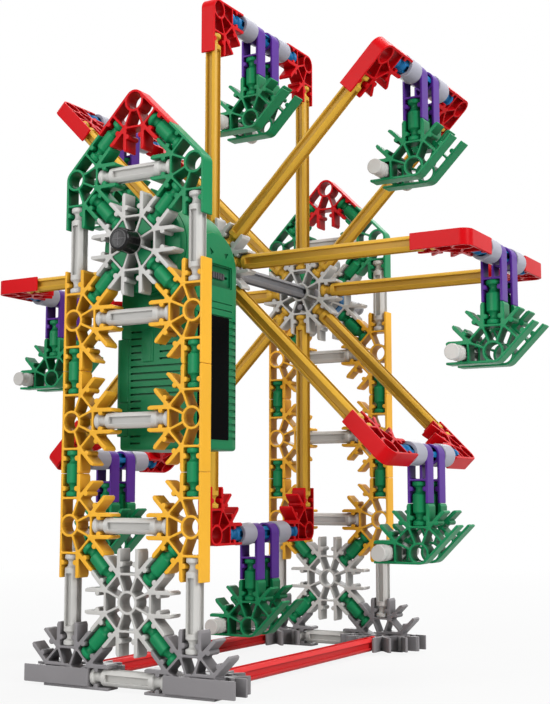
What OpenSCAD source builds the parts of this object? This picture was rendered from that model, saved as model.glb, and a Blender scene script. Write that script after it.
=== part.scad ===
// Toy ferris wheel built from snap-together rods and flat slotted connectors.
// Two braced towers carry one axle, and a battery motor on the near tower turns it.
// Eight gondolas hang on the rim crossbars. The axle lies along Y, and +Z is up.

/* [Rods and connectors] */
// Centre distance of two connectors that the shortest rod joins
pitch = 37.5; // [36:0.5:42]
// Diameter of every rod
rod_d = 6.2; // [5.8:0.1:6.4]
// Thickness of every flat connector
plate_t = 6.2; // [5.6:0.1:6.6]
// Distance from a connector's centre to the end of a rod in its socket
seat_r = 10.3; // [10:0.1:11]
// Gap between a rod's end and the floor of its socket
seat_play = 0.05; // [0.03:0.01:0.1]
// Play between a rod and the hole or socket round it, on each side
fit_play = 0.1; // [0.08:0.01:0.12]
// Wall of the ring round a connector's centre hole
ring_wall = 1.0; // [0.8:0.1:1.3]
// Width of the thin spokes and socket floors
web_t = 0.9; // [0.7:0.1:1.2]
// Thickness of the springy prongs beside a socket
prong_t = 1.5; // [1.3:0.1:1.7]
// Seam left between the prong tips of two connectors on the shortest rod
tip_seam = 0.1; // [0.06:0.02:0.4]
// Radius of the bumps on the prongs that grip a rod's neck
bump_r = 1.0; // [0.8:0.1:1]
// Gap between the two bumps of a socket
bump_gap = 3.9; // [3.7:0.1:4.1]
// Distance from a rod's end to the middle of its neck
neck_at = 2.9; // [2.8:0.1:3]
// Distance from a rod's end to where its four long grooves start
groove_from = 6.8; // [5.5:0.1:8]
// Width of a long groove
groove_w = 2.4; // [2.4:0.1:2.7]
// Depth of a long groove
groove_deep = 1.5; // [1.3:0.1:1.6]

/* [Wheel] */
// How far the wheel stands off the middle of the towers
wheel_off = 12.4; // [11:0.1:14]
// Clear gap between the two hanger clips of a gondola
clip_gap = 5.5; // [5:0.1:6.5]
// Side play of a hanger clip on its crossbar
side_play = 0.15; // [0.1:0.01:0.3]
// Wall of the silver spacer tubes
spacer_wall = 1.4; // [1:0.1:1.8]
// Wall of the blue spacer ring on the axle
collar_wall = 1.3; // [1:0.1:1.6]
// Length of the blue spacer ring on the axle
collar_len = 6.3; // [4:0.1:8]
// Length of the black cap on the axle's near end
cap_len = 8; // [7:0.5:10]
// Radius of the black cap
cap_r = 4.3; // [4.1:0.1:5]
// Thickness of the cap's closed end
cap_end = 1.3; // [1:0.1:2]
// Radius of the lock clip's pin
lock_pin_r = 1.3; // [1:0.1:1.5]
// Width of the lock clip along the axle
lock_w = 4; // [3:0.5:6]

/* [Motor] */
// Radius of the round gear housing
drum_r = 17.4; // [17.3:0.05:17.5]
// Length of the gear housing along the axle
drum_len = 30.1; // [29.5:0.1:31]
// Wall of every motor shell
shell_t = 1.6; // [1.4:0.1:1.8]
// Reach of the motor case to the left of the axle
case_left = 15.8; // [15.5:0.1:16.4]
// Reach of the motor case to the right of the axle
case_right = 18; // [17.9:0.1:18.2]
// Gap from the tower to the front of the motor case
case_gap = 8.9; // [8:0.1:10]
// Depth of the motor case along the axle
case_depth = 28; // [27.6:0.1:29]
// Distance from the axle down to the bottom of the motor case
case_drop = 74.25; // [74.2:0.05:78]
// Distance from the axle down to the middle of the case's round top
arch_drop = 6.75; // [6:0.05:7.5]
// Depth of the back cover
back_depth = 3.6; // [3.4:0.1:4]
// Width of the ribbed strip down the case's back edge
strip_w = 5.3; // [5:0.1:6]
// Reach of the battery cover to the left of the axle
cover_left = 18; // [18:0.1:19]
// Distance from the bottom of the case to the battery cover
cover_low = 5.2; // [4:0.1:7]
// Height of the battery cover
cover_h = 36.3; // [34:0.1:40]
// Width of the battery cover's strip on the front of the case
cover_wrap = 6; // [5:0.1:7]
// Distance between the horizontal grip grooves
rib_step = 2.58; // [2.4:0.02:3]
// Depth of the grip grooves
rib_deep = 0.5; // [0.3:0.1:0.7]
// Play round a cover or a lid
lid_play = 0.1; // [0.05:0.01:0.2]
// Radius of a battery cell
cell_r = 7.1; // [6.9:0.05:7.25]
// Length of a battery cell
cell_len = 50.5; // [49.5:0.5:50.5]
// Distance between the two cells' middles
cell_step = 14.8; // [14.6:0.1:15.2]
// Room round the cells in the case
cell_play = 0.3; // [0.1:0.1:0.5]
// Height of the contact plate under the cells
contact_t = 0.6; // [0.4:0.1:0.8]
// Height of the contacts over the cells
contact_h = 1.1; // [0.8:0.1:1.2]
// Half the width of a contact
contact_half = 3; // [2:0.5:4]
// Radius of the knob on a cell's end
knob_r = 2.6; // [2:0.1:3]
// Height of the knob on a cell's end
knob_h = 1; // [0.6:0.1:1.2]
// Radius of the motor can
can_r = 5.1; // [4.5:0.1:5.2]
// Length of the motor can
can_len = 14; // [12:0.5:17]
// Distance from the axle to the motor's shaft
can_at = 10.5; // [10.4:0.05:10.55]
// Direction of the motor's shaft from the axle, in degrees from +X
can_turn = -45; // [-60:5:-30]
// Turn from the motor's shaft to the reduction gear's pin, in degrees
idler_turn = 39; // [39:0.5:42]
// Distance from the axle to the reduction gear's pin
idler_at = 10.3; // [10.3:0.05:10.4]
// Tip radius of the motor pinion
pinion_r = 1.6; // [1.4:0.1:1.6]
// Tip radius of the reduction gear
idler_r = 5.1; // [4.8:0.1:5.1]
// Tip radius of the reduction gear's own pinion
idler_pinion_r = 2; // [1.8:0.1:2]
// Tip radius of the output gear
output_r = 8.1; // [7.6:0.1:8.1]
// Width of every gear
gear_w = 3.5; // [3:0.1:3.6]
// Gap between the output gear and the housing's lid
gear_gap = 1.6; // [0.5:0.1:1.6]
// Gap between one gear and the next along the axle
gear_step = 0.2; // [0.2:0.1:0.5]
// Gap between the motor can and its pinion
pinion_gap = 1; // [0.5:0.1:1]
// Radius of the output tube inside the housing
tube_r = 5; // [4.6:0.1:5]
// Radius of the drive collar between motor and hub
drive_r = 7.8; // [7:0.1:8.2]
// Distance from the bottom of the case to the label
label_low = 3.9; // [2:0.1:3.9]
// Height of the label
label_h = 45.9; // [40:0.1:45.9]
// Distance from the bottom of the case to the first long groove round it
groove_low = 20.6; // [19:0.1:22]
// Width of the grooves round the case
groove_line = 0.8; // [0.6:0.1:1]
// Distance from the bottom of the case to the raised panel on its front
panel_low = 32.5; // [30:0.5:35]
// Height of the raised panel
panel_h = 12; // [8:0.5:14]
// Height that the panel stands out
panel_t = 0.4; // [0.3:0.1:0.6]
// Distance from the axle down to the first fine line under the switch
line_drop = 19; // [17:0.5:19]
// Distance between the fine lines under the switch
line_step = 2.5; // [2:0.1:2.5]
// Width of the fine lines under the switch
line_w = 0.4; // [0.3:0.1:0.6]
// Distance from the bottom of the case to the first rib groove of its strip
strip_low = 4.6; // [3:0.1:6]
// Width of the switch window
switch_w = 17; // [16:0.5:18]
// Height of the switch window
switch_h = 7.4; // [6.5:0.1:7.6]
// Distance from the axle down to the switch
switch_drop = 9.05; // [7:0.05:11]
// Distance from the back of the case to the middle of the switch
switch_in = 12.8; // [12.3:0.1:15]
// Length of the switch slider
slider_w = 8; // [7:0.1:8.5]
// Height of the switch slider
slider_h = 2.4; // [2:0.1:3]

/* [Hidden] */
$fn = 48;
eps = 0.01;
arms = 8;

// Sizes that follow from the rod
rod_r = rod_d / 2;
bore_r = rod_r + fit_play;
ring_r = bore_r + ring_wall;
rod_at = seat_r + seat_play;
tip_r = pitch / 2 - tip_seam / 2;
bump_y = bump_gap / 2 + bump_r;
neck_r = bump_r + fit_play;
half_t = plate_t / 2;
bar_at = rod_at + rod_r;

// The tower's grid: a diagonal short rod climbs and steps aside by the same amount
diag = pitch / sqrt(2);
tower_y = 2 * pitch;
foot_z = ring_r;
brace_z = foot_z + diag;
low_z = brace_z + diag;
mid_z = low_z + pitch;
high_z = mid_z + pitch;
axle_z = high_z + diag;
shoulder_z = axle_z + diag;
apex_z = shoulder_z + diag;

// The wheel
wheel_r = 2 * sqrt(2) * pitch;
near_hub_y = wheel_off - pitch;
far_hub_y = wheel_off + pitch;
clip_y = (clip_gap + plate_t) / 2;
spacer_from = clip_y + half_t + side_play;
spacer_to = pitch - tip_r - side_play;
tower_out = tower_y + half_t;
axle_from = -tower_out - 2 * fit_play - cap_len + cap_end;
axle_len = 4 * sqrt(2) * pitch - 2 * rod_at;
axle_to = axle_from + axle_len;
lock_at = (ring_r + seat_r - web_t) / 2;

// The motor
drum_from = -tower_y + half_t;
drum_to = drum_from + drum_len;
case_from = drum_from + case_gap;
case_to = case_from + case_depth;
case_mid = (case_from + case_to) / 2;
back_from = case_to - back_depth;
arch_r = case_depth / 2;
arch_z = axle_z - arch_drop;
case_z = axle_z - case_drop;
cover_z = case_z + cover_low;
cell_z = case_z + shell_t + contact_t;
cell_top = cell_z + cell_len;
shelf_z = cell_top + contact_h;
output_from = drum_to - shell_t - gear_gap - gear_w;
idler_from = output_from - gear_step - gear_w;
can_to = idler_from - pinion_gap;
can_from = can_to - can_len;
can_x = can_at * cos(can_turn);
can_z = axle_z + can_at * sin(can_turn);
idler_x = idler_at * cos(can_turn - idler_turn);
idler_z = axle_z + idler_at * sin(can_turn - idler_turn);
pin_r = 1;
shaft_r = 0.75;
shaft_in = 3.8;
shaft_out = 1;
tooth_h = 0.6;
drive_to = near_hub_y - half_t - fit_play;
label_t = 0.2;
recess = 1;
switch_z = axle_z - switch_drop;
switch_y = case_to - switch_in;
cell_x = cell_r + cell_play + shell_t - case_left;
screw_r = 1.1;
screw_head_r = 1.9;
screw_len = 8;
post_r = 1.9;
post_len = 5.6;
post_z = shelf_z + shell_t + post_r - 0.3;
screw_spots = [
    [-case_left + shell_t + post_r - 0.3, post_z],
    [case_right - shell_t - post_r + 0.3, post_z],
    [cell_x + cell_step / 2, case_z + 6]
];

// The origin is under the middle of the whole object
gondola_left = wheel_r + tip_r;
gondola_right = wheel_r + tip_r * cos(45) + ring_r * sin(45);
mid_x = (gondola_right - gondola_left) / 2;
mid_y = (axle_to + axle_from - cap_end) / 2;

module place() {
    translate([-mid_x, -mid_y, 0]) children();
}

module mirror_x() {
    children();
    mirror([1, 0, 0]) children();
}

// A flat shape drawn in X and Z stands upright with its thickness along Y
module upright(thick) {
    rotate([90, 0, 0]) linear_extrude(height = thick, center = true) children();
}

// Lays a shape that was drawn upwards along Y, from one place on
module along_y(from) {
    translate([0, from, 0]) rotate([-90, 0, 0]) children();
}

// A smooth rod along +X with a flange and a neck at each end
module rod_blank(len) {
    rotate([0, 90, 0]) rotate_extrude() difference() {
        square([rod_r, len]);
        for (z = [neck_at, len - neck_at]) translate([bump_y, z]) circle(r = neck_r);
    }
}

// The four long grooves that lighten the longer rods
module rod(len) {
    difference() {
        rod_blank(len);
        for (turn = [0:90:270]) rotate([turn, 0, 0])
            translate([groove_from, -groove_w / 2, rod_r - groove_deep])
                cube([len - 2 * groove_from, groove_w, groove_deep + 1]);
    }
}

// A rod between two connector centres in the X and Z plane
module link(from, to, grooved = true) {
    step = to - from;
    translate([from[0], 0, from[1]]) rotate([0, -atan2(step[1], step[0]), 0])
        translate([rod_at, 0, 0])
            if (grooved) rod(norm(step) - 2 * rod_at);
            else rod_blank(norm(step) - 2 * rod_at);
}

// One side of a socket that faces +X: a prong with its bump
module prong(wall) {
    side_t = wall ? ring_r - bore_r : prong_t;
    start = wall ? 0 : seat_r - web_t;
    lead = wall ? 0 : 0.5;
    polygon([
        [start, bore_r], [tip_r, bore_r], [tip_r, bore_r + side_t - lead],
        [tip_r - 2 * lead, bore_r + side_t], [start, bore_r + side_t]
    ]);
    intersection() {
        translate([rod_at + neck_at, bump_y]) circle(r = bump_r);
        translate([seat_r, 0]) square([pitch, bore_r + side_t / 2]);
    }
}

// A socket that faces +X, with its floor, prongs and spokes
module socket(low_wall, high_wall) {
    translate([seat_r - web_t, -ring_r]) square([web_t, 2 * ring_r]);
    prong(high_wall);
    mirror([0, 1]) prong(low_wall);
    if (!high_wall) rotate(22.5) spoke();
    if (!low_wall) rotate(-22.5) spoke();
}

module spoke() {
    translate([(bore_r + ring_r) / 2, -web_t / 2])
        square([seat_r / cos(22.5) - (bore_r + ring_r) / 2, web_t]);
}

// A connector's flat outline with count sockets, 45 degrees apart, from the first turn
module outline(first, count) {
    open = count == 8;
    difference() {
        union() {
            circle(r = ring_r);
            for (i = [0:count - 1]) rotate(first + 45 * i)
                socket(!open && i == 0, !open && i == count - 1);
        }
        circle(r = bore_r);
    }
}

module connector(first, count) {
    upright(plate_t) outline(first, count);
}

// The slotted foot connector: four sockets on the right, a slot open to the left
module slotted_outline() {
    difference() {
        union() {
            circle(r = ring_r);
            for (i = [0:3]) rotate(45 * i) socket(i == 0, false);
            for (y = [-ring_r, half_t + fit_play / 2])
                translate([-seat_r, y]) square([seat_r, ring_r - half_t - fit_play / 2]);
            rotate(157.5) spoke();
        }
        translate([-seat_r - 1, -half_t - fit_play / 2])
            square([seat_r + 1 + fit_play / 2, plate_t + fit_play]);
    }
}

module both_towers() {
    for (side = [-1, 1]) translate([0, side * tower_y, 0]) children();
}

// The two towers

module yellow_connectors() {
    color("#f5af2d") place() both_towers()
        for (z = [low_z, mid_z, high_z]) mirror_x()
            translate([diag, 0, z]) connector(90, 5);
}

module tower_long_rods() {
    color("#e1ded9") place() both_towers() {
        for (z = [foot_z, low_z, mid_z, high_z, shoulder_z])
            link([-diag, z], [diag, z]);
        mirror_x() {
            link([diag, foot_z], [diag, low_z]);
            link([diag, high_z], [diag, shoulder_z]);
        }
    }
}

module tower_short_rods() {
    color("#0f824b") place() both_towers() mirror_x() {
        link([diag, foot_z], [0, brace_z], false);
        link([0, brace_z], [diag, low_z], false);
        link([diag, low_z], [diag, mid_z], false);
        link([diag, mid_z], [diag, high_z], false);
        link([diag, high_z], [0, axle_z], false);
        link([0, axle_z], [diag, shoulder_z], false);
        link([diag, shoulder_z], [0, apex_z], false);
    }
}

module axle_connectors() {
    color("#e1ded9") place() both_towers() translate([0, 0, axle_z]) connector(0, 8);
}

module brace_connectors() {
    color("#e1ded9") place() both_towers() translate([0, 0, brace_z]) connector(0, 8);
}

module shoulder_connectors() {
    color("#197d46") place() both_towers() mirror_x()
        translate([diag, 0, shoulder_z]) connector(135, 4);
}

module apex_connectors() {
    color("#d72328") place() both_towers() translate([0, 0, apex_z]) connector(225, 3);
}

// The upright half of each foot has its slot on the outer side
module foot_upright_plates() {
    color("#918f93") place() both_towers() mirror_x()
        translate([diag, 0, foot_z]) upright(plate_t) mirror([1, 0]) slotted_outline();
}

// The flat half of each foot lies through that slot, its flat edge outward
module foot_flat_plates() {
    color("#918f93") place() for (side = [0, 1]) mirror([0, side, 0]) mirror_x()
        translate([diag, -tower_y, foot_z - half_t])
            linear_extrude(height = plate_t) slotted_outline();
}

module base_rods() {
    color("#eb3c3c") place() mirror_x()
        translate([diag, 0, foot_z]) rotate([0, 0, 90])
            translate([rod_at - tower_y, 0, 0]) rod(2 * tower_y - 2 * rod_at);
}

// The wheel

module axle() {
    color("#78787d") place() translate([0, axle_from, axle_z]) rotate([0, 0, 90]) rod(axle_len);
}

module axle_cap() {
    dome = 1.2;
    color("#2d2a2c") place() translate([0, 0, axle_z]) along_y(axle_from - cap_end)
        rotate_extrude() difference() {
            union() {
                translate([0, dome]) square([cap_r, cap_len - dome]);
                square([cap_r - dome, cap_len]);
                translate([cap_r - dome, dome]) circle(r = dome);
            }
            translate([0, cap_end]) square([bore_r, cap_len]);
            translate([-2 * dome, 0]) square([2 * dome, cap_len]);
        }
}

module hub_connectors() {
    color("#e1ded9") place() for (y = [near_hub_y, far_hub_y])
        translate([0, y, axle_z]) connector(0, 8);
}

module spokes() {
    color("#d7a032") place() for (y = [near_hub_y, far_hub_y], i = [0:arms - 1])
        translate([0, y, axle_z]) rotate([0, -i * 360 / arms, 0])
            translate([rod_at, 0, 0]) rod(wheel_r - 2 * rod_at);
}

// The rim connectors stand across the wheel, one socket in and one to the other side
module rim_connectors() {
    color("#d72328") place() translate([0, wheel_off, axle_z])
        for (side = [0, 1], i = [0:arms - 1]) mirror([0, side, 0])
            rotate([0, -i * 360 / arms, 0]) translate([wheel_r, -pitch, 0])
                linear_extrude(height = plate_t, center = true) outline(90, 3);
}

module rim_crossbars() {
    color("#2378af") place() translate([0, wheel_off, axle_z])
        for (i = [0:arms - 1]) rotate([0, -i * 360 / arms, 0])
            translate([wheel_r, rod_at - pitch, 0]) rotate([0, 0, 90]) rod(2 * pitch - 2 * rod_at);
}

module ring(inner, outer, len) {
    difference() {
        cylinder(r = outer, h = len);
        translate([0, 0, -1]) cylinder(r = inner, h = len + 2);
    }
}

module rim_spacers() {
    color("#afafbc") place() translate([0, wheel_off, axle_z])
        for (side = [0, 1], i = [0:arms - 1]) mirror([0, side, 0])
            rotate([0, -i * 360 / arms, 0]) translate([wheel_r, 0, 0])
                along_y(spacer_from) ring(bore_r, bore_r + spacer_wall, spacer_to - spacer_from);
}

module axle_spacer() {
    color("#2378af") place() translate([0, 0, axle_z])
        along_y(tower_out + fit_play) ring(bore_r, bore_r + collar_wall, collar_len);
}

// The lock clip grips the axle behind the far hub, and its pin sits in the hub's window
module hub_lock_clip() {
    color("#8f8d92") place() translate([0, far_hub_y + half_t + fit_play, axle_z]) {
        difference() {
            union() {
                along_y(0) cylinder(r = ring_r, h = lock_w);
                translate([-lock_pin_r, 0, -lock_at]) cube([2 * lock_pin_r, lock_w, lock_at]);
                translate([0, 0, -lock_at]) along_y(0) cylinder(r = lock_pin_r, h = lock_w);
            }
            along_y(-1) cylinder(r = bore_r, h = lock_w + 2);
            translate([-1, -1, rod_r / 2]) cube([2, lock_w + 2, rod_r + ring_wall]);
        }
        translate([0, 0, -lock_at]) along_y(-plate_t - fit_play)
            cylinder(r = lock_pin_r, h = plate_t + fit_play + lock_w / 2);
    }
}

// The gondolas

module at_gondola(i) {
    place() translate([
        wheel_r * cos((i - 1) * 360 / arms), wheel_off,
        axle_z + wheel_r * sin((i - 1) * 360 / arms)
    ]) children();
}

module both_clips() {
    for (side = [-1, 1]) translate([0, side * clip_y, 0]) children();
}

// Two one-socket clips whose eyes turn on the crossbar
module gondola_hangers(i) {
    color("#5f3296") at_gondola(i) both_clips() upright(plate_t) hanger_outline();
}

module hanger_outline() {
    difference() {
        union() {
            circle(r = ring_r);
            rotate(270) socket(true, true);
        }
        circle(r = bore_r);
    }
}

// The drop rods and the four-socket connectors at their lower ends
module gondola_sides(i) {
    color("#197d46") at_gondola(i) both_clips() {
        link([0, 0], [0, -pitch], false);
        translate([0, 0, -pitch]) connector(45, 4);
    }
}

// The bar is pressed sideways into the left-hand sockets and ties the sides together
module gondola_bar(i) {
    bar_len = 2 * diag - 2 * rod_at;
    color("#e1ded9") at_gondola(i) translate([-bar_at, -bar_len / 2, -pitch])
        rotate([0, 0, 90]) rod(bar_len);
}

// The motor

module case_side(inset) {
    translate([case_from + inset, case_z + inset])
        square([case_depth - 2 * inset, arch_z - case_z - inset]);
    translate([case_mid, arch_z]) circle(r = arch_r - inset);
}

module case_block(inset, left, right) {
    translate([-left + inset, 0, 0]) rotate([90, 0, 90])
        linear_extrude(height = left + right - 2 * inset) case_side(inset);
}

// Room in the case for the gear housing
module drum_room() {
    room = lid_play / 2;
    translate([0, 0, axle_z]) along_y(drum_from) cylinder(r = drum_r + room, h = drum_len + room);
}

module slab(from_x, to_x, from_y, to_y, from_z, to_z) {
    translate([from_x, from_y, from_z]) cube([to_x - from_x, to_y - from_y, to_z - from_z]);
}

module screw_places() {
    for (spot = screw_spots) translate([spot[0], 0, spot[1]]) children();
}

module battery_opening() {
    low = cover_z - lid_play;
    high = cover_z + cover_h + lid_play;
    slab(-cover_left - 1, -case_left + shell_t + eps, case_from + shell_t, case_to - shell_t, low, high);
    slab(-cover_left - 1, -cover_left + cover_wrap + lid_play, case_from - 1,
        case_from + shell_t + lid_play, low, high);
}

module drive_hole() {
    translate([0, 0, axle_z]) along_y(drum_to - 1)
        cylinder(r = drive_r + 3 * fit_play, h = case_to - drum_to + 2);
}

// Fine grooves across the strip down the back edge of the right side
module strip_grooves() {
    edge = 0.4;
    for (i = [0:17]) slab(case_right - rib_deep, case_right + 1, case_to - strip_w, case_to - edge,
        case_z + strip_low + i * rib_step - 0.5, case_z + strip_low + i * rib_step + 0.5);
}

// Front shell of the case: open to the back, and cut out for the housing and the cover
module motor_case() {
    color("#14643c") place() difference() {
        union() {
            difference() {
                case_block(0, case_left, case_right);
                case_block(shell_t, case_left, case_right);
            }
            slab(-case_left + eps, case_right - eps, case_from + eps, back_from, shelf_z,
                shelf_z + shell_t);
            slab(-2 * rod_r, -0.7, case_from - panel_t, case_from + eps, case_z + panel_low,
                case_z + panel_low + panel_h);
            screw_places() along_y(back_from - post_len) cylinder(r = post_r, h = post_len);
            slab(screw_spots[2][0] - 0.8, screw_spots[2][0] + 0.8, back_from - post_len, back_from,
                case_z + eps, screw_spots[2][1]);
        }
        drum_room();
        drive_hole();
        battery_opening();
        slab(-cover_left - 1, case_right + 1, back_from, case_to + 1, case_z - 1,
            arch_z + arch_r + 1);
        screw_places() along_y(case_to - 1.2 - screw_len) cylinder(r = screw_r + 0.02, h = screw_len);
        switch_window();
        front_grooves();
        strip_grooves();
        for (i = [0:2]) translate([0, 0, axle_z - line_drop - i * line_step])
            slab(case_right - rib_deep, case_right + 1, case_from - 1, case_to, -line_w, 0);
    }
}

module front_groove(i, to_x) {
    middle = case_z + groove_low + i * rib_step;
    slab(-cover_left + cover_wrap + 1, to_x, case_from - 1, case_from + rib_deep,
        middle - groove_line / 2, middle + groove_line / 2);
}

// Five long grooves round the front and short ones above and below them
module front_grooves() {
    for (i = [0:4]) front_groove(i, case_right + 1);
    for (i = [-7, -6, -2, -1, 5, 6, 7, 8, 9]) front_groove(i, -2 * rod_r);
}

// A shallow tray with a slot in its floor for the slider's stem
module switch_window() {
    slab(case_right - recess, case_right + 1, switch_y - switch_w / 2, switch_y + switch_w / 2,
        switch_z - switch_h / 2, switch_z + switch_h / 2);
    slab(case_right - shell_t - 1, case_right, switch_y - switch_w / 2 + 1, switch_y + switch_w / 2 - 1,
        switch_z - 0.5, switch_z + 0.5);
}

module switch_slider() {
    color("#78787d") place() {
        slab(case_right - recess + fit_play, case_right - fit_play, switch_y - slider_w / 2,
            switch_y + slider_w / 2, switch_z - slider_h / 2, switch_z + slider_h / 2);
        slab(case_right - shell_t + fit_play / 2, case_right - recess + 2 * fit_play, switch_y - 1.5,
            switch_y + 1.5, switch_z - 0.4, switch_z + 0.4);
    }
}

// Back cover: a ribbed tray that closes the case round the drive collar
module motor_back_cover() {
    color("#14643c") place() difference() {
        union() {
            difference() {
                case_block(0, case_left, case_right);
                slab(-cover_left - 1, case_right + 1, case_from - 1, back_from, case_z - 1,
                    arch_z + arch_r + 1);
                intersection() {
                    case_block(shell_t, case_left, case_right);
                    slab(-cover_left - 1, case_right + 1, back_from - 1, case_to - shell_t, case_z,
                        arch_z + arch_r);
                }
            }
            screw_places() along_y(back_from) cylinder(r = post_r, h = back_depth - eps);
        }
        battery_opening();
        drive_hole();
        screw_places() along_y(back_from - 1) cylinder(r = screw_r + fit_play, h = 2 * back_depth);
        screw_places() along_y(case_to - 1) cylinder(r = screw_head_r + fit_play, h = 2);
        strip_grooves();
    }
}

// Battery cover: closes the left side and wraps onto the front
module battery_cover() {
    color("#14643c") place() {
        slab(-cover_left, -case_left, case_from, case_to, cover_z, cover_z + cover_h);
        slab(-cover_left, -cover_left + cover_wrap, case_from, case_from + shell_t, cover_z, cover_z + cover_h);
    }
}

// Round gear housing with pegs that fill four windows of the tower's axle connector
module gear_housing() {
    color("#379660") place() difference() {
        union() {
            difference() {
                translate([0, 0, axle_z]) along_y(drum_from) cylinder(r = drum_r, h = drum_len);
                translate([0, 0, axle_z]) along_y(drum_from + shell_t)
                    cylinder(r = drum_r - shell_t, h = drum_len);
            }
            for (turn = [45:90:315]) translate([0, drum_from, axle_z]) rotate([0, -turn, 0])
                upright_peg();
            translate([idler_x, 0, idler_z]) along_y(drum_from + eps)
                cylinder(r = pin_r, h = drum_len - eps);
        }
        translate([0, 0, axle_z]) along_y(drum_from - 1) cylinder(r = bore_r, h = 2 * shell_t);
    }
}

module upright_peg() {
    inner = ring_r + 0.2;
    outer = seat_r - web_t - 0.2;
    slim = web_t / 2 / cos(22.5) + 0.2;
    translate([0, -(plate_t - 0.3) / 2 + eps, 0]) upright(plate_t - 0.3) polygon([
        [inner, -inner * tan(22.5) + slim], [outer, -outer * tan(22.5) + slim],
        [outer, outer * tan(22.5) - slim], [inner, inner * tan(22.5) - slim]
    ]);
}

module gear_housing_lid() {
    color("#379660") place() translate([0, 0, axle_z]) difference() {
        along_y(drum_to - shell_t) cylinder(r = drum_r - shell_t - lid_play, h = shell_t);
        along_y(drum_to - 2 * shell_t) cylinder(r = tube_r + fit_play, h = 3 * shell_t);
        translate([idler_x, 0, idler_z - axle_z]) along_y(drum_to - 2 * shell_t)
            cylinder(r = pin_r + fit_play / 2, h = 3 * shell_t);
    }
}

module side_label() {
    color("#1c1b1d") place() slab(case_right, case_right + label_t, case_from + 1.2,
        case_to - strip_w - 0.5, case_z + label_low, case_z + label_low + label_h);
}

module battery_cells() {
    color("#b9babd") place() for (i = [0, 1])
        translate([cell_x + i * cell_step, case_mid, cell_z]) {
            cylinder(r = cell_r, h = cell_len - knob_h);
            cylinder(r = knob_r, h = cell_len);
        }
}

module battery_contacts() {
    color("#c3c4c7") place() {
        slab(cell_x - contact_half, cell_x + cell_step + contact_half, case_mid - contact_half,
            case_mid + contact_half, case_z + shell_t, cell_z);
        for (i = [0, 1]) translate([cell_x + i * cell_step, 0, 0])
            slab(-contact_half, contact_half, case_mid - contact_half, case_mid + contact_half,
                cell_top, shelf_z);
    }
}

module case_screws() {
    color("#aaabae") place() screw_places() {
        along_y(case_to - 1 - screw_len) cylinder(r = screw_r, h = screw_len + eps);
        along_y(case_to - 1) cylinder(r = screw_head_r, h = 1);
    }
}

module motor_can() {
    color("#c3c4c7") place() translate([can_x, 0, can_z]) difference() {
        along_y(can_from) cylinder(r = can_r, h = can_len);
        along_y(can_to - shaft_in - 2 * fit_play)
            cylinder(r = shaft_r + fit_play, h = shaft_in + 1);
    }
}

module gear_outline(tip, teeth) {
    root = tip - tooth_h;
    polygon([for (i = [0:teeth - 1], k = [0:3])
        let (r = k == 0 || k == 3 ? root : tip, a = (i + [0.1, 0.3, 0.6, 0.8][k]) * 360 / teeth)
        [r * cos(a), r * sin(a)]
    ]);
}

module gear(tip, teeth, from, width) {
    along_y(from) linear_extrude(height = width) gear_outline(tip, teeth);
}

// The motor's own shaft with its small brass pinion
module motor_pinion() {
    color("#b9963c") place() translate([can_x, 0, can_z]) {
        along_y(can_to - shaft_in)
            cylinder(r = shaft_r, h = shaft_in + pinion_gap + gear_w + shaft_out);
        gear(pinion_r, 8, idler_from, gear_w);
    }
}

module reduction_gear() {
    color("#f0f0ee") place() translate([idler_x, 0, idler_z]) difference() {
        union() {
            gear(idler_r, 26, idler_from, gear_w);
            gear(idler_pinion_r, 8, idler_from + gear_w - eps, gear_w + gear_step);
        }
        along_y(idler_from - 1) cylinder(r = pin_r + fit_play, h = 4 * gear_w);
    }
}

// Output gear, tube and drive collar in one piece, slid over the axle
module output_drive() {
    color("#379660") place() translate([0, 0, axle_z]) difference() {
        union() {
            gear(output_r, 36, output_from, gear_w);
            along_y(drum_from + shell_t + lid_play)
                cylinder(r = tube_r, h = drive_to - drum_from - shell_t - lid_play);
            along_y(drum_to + 2 * fit_play) cylinder(r = drive_r, h = drive_to - drum_to - 2 * fit_play);
        }
        along_y(drum_from) cylinder(r = bore_r, h = drive_to - drum_from + 1);
    }
}

yellow_connectors();
tower_long_rods();
tower_short_rods();
axle_connectors();
brace_connectors();
shoulder_connectors();
apex_connectors();
foot_upright_plates();
foot_flat_plates();
base_rods();
axle();
axle_cap();
hub_connectors();
spokes();
rim_connectors();
rim_crossbars();
rim_spacers();
axle_spacer();
hub_lock_clip();
motor_case();
motor_back_cover();
battery_cover();
gear_housing();
gear_housing_lid();
switch_slider();
side_label();
battery_cells();
battery_contacts();
case_screws();
motor_can();
motor_pinion();
reduction_gear();
output_drive();
gondola_hangers(1);  // gondola_1_hangers
gondola_sides(1);  // gondola_1_sides
gondola_bar(1);  // gondola_1_bar
gondola_hangers(2);  // gondola_2_hangers
gondola_sides(2);  // gondola_2_sides
gondola_bar(2);  // gondola_2_bar
gondola_hangers(3);  // gondola_3_hangers
gondola_sides(3);  // gondola_3_sides
gondola_bar(3);  // gondola_3_bar
gondola_hangers(4);  // gondola_4_hangers
gondola_sides(4);  // gondola_4_sides
gondola_bar(4);  // gondola_4_bar
gondola_hangers(5);  // gondola_5_hangers
gondola_sides(5);  // gondola_5_sides
gondola_bar(5);  // gondola_5_bar
gondola_hangers(6);  // gondola_6_hangers
gondola_sides(6);  // gondola_6_sides
gondola_bar(6);  // gondola_6_bar
gondola_hangers(7);  // gondola_7_hangers
gondola_sides(7);  // gondola_7_sides
gondola_bar(7);  // gondola_7_bar
gondola_hangers(8);  // gondola_8_hangers
gondola_sides(8);  // gondola_8_sides
gondola_bar(8);  // gondola_8_bar
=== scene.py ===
import math
import random

import bmesh
import bpy
import numpy as np
from mathutils import Matrix, Vector
from mathutils.bvhtree import BVHTree


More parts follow.
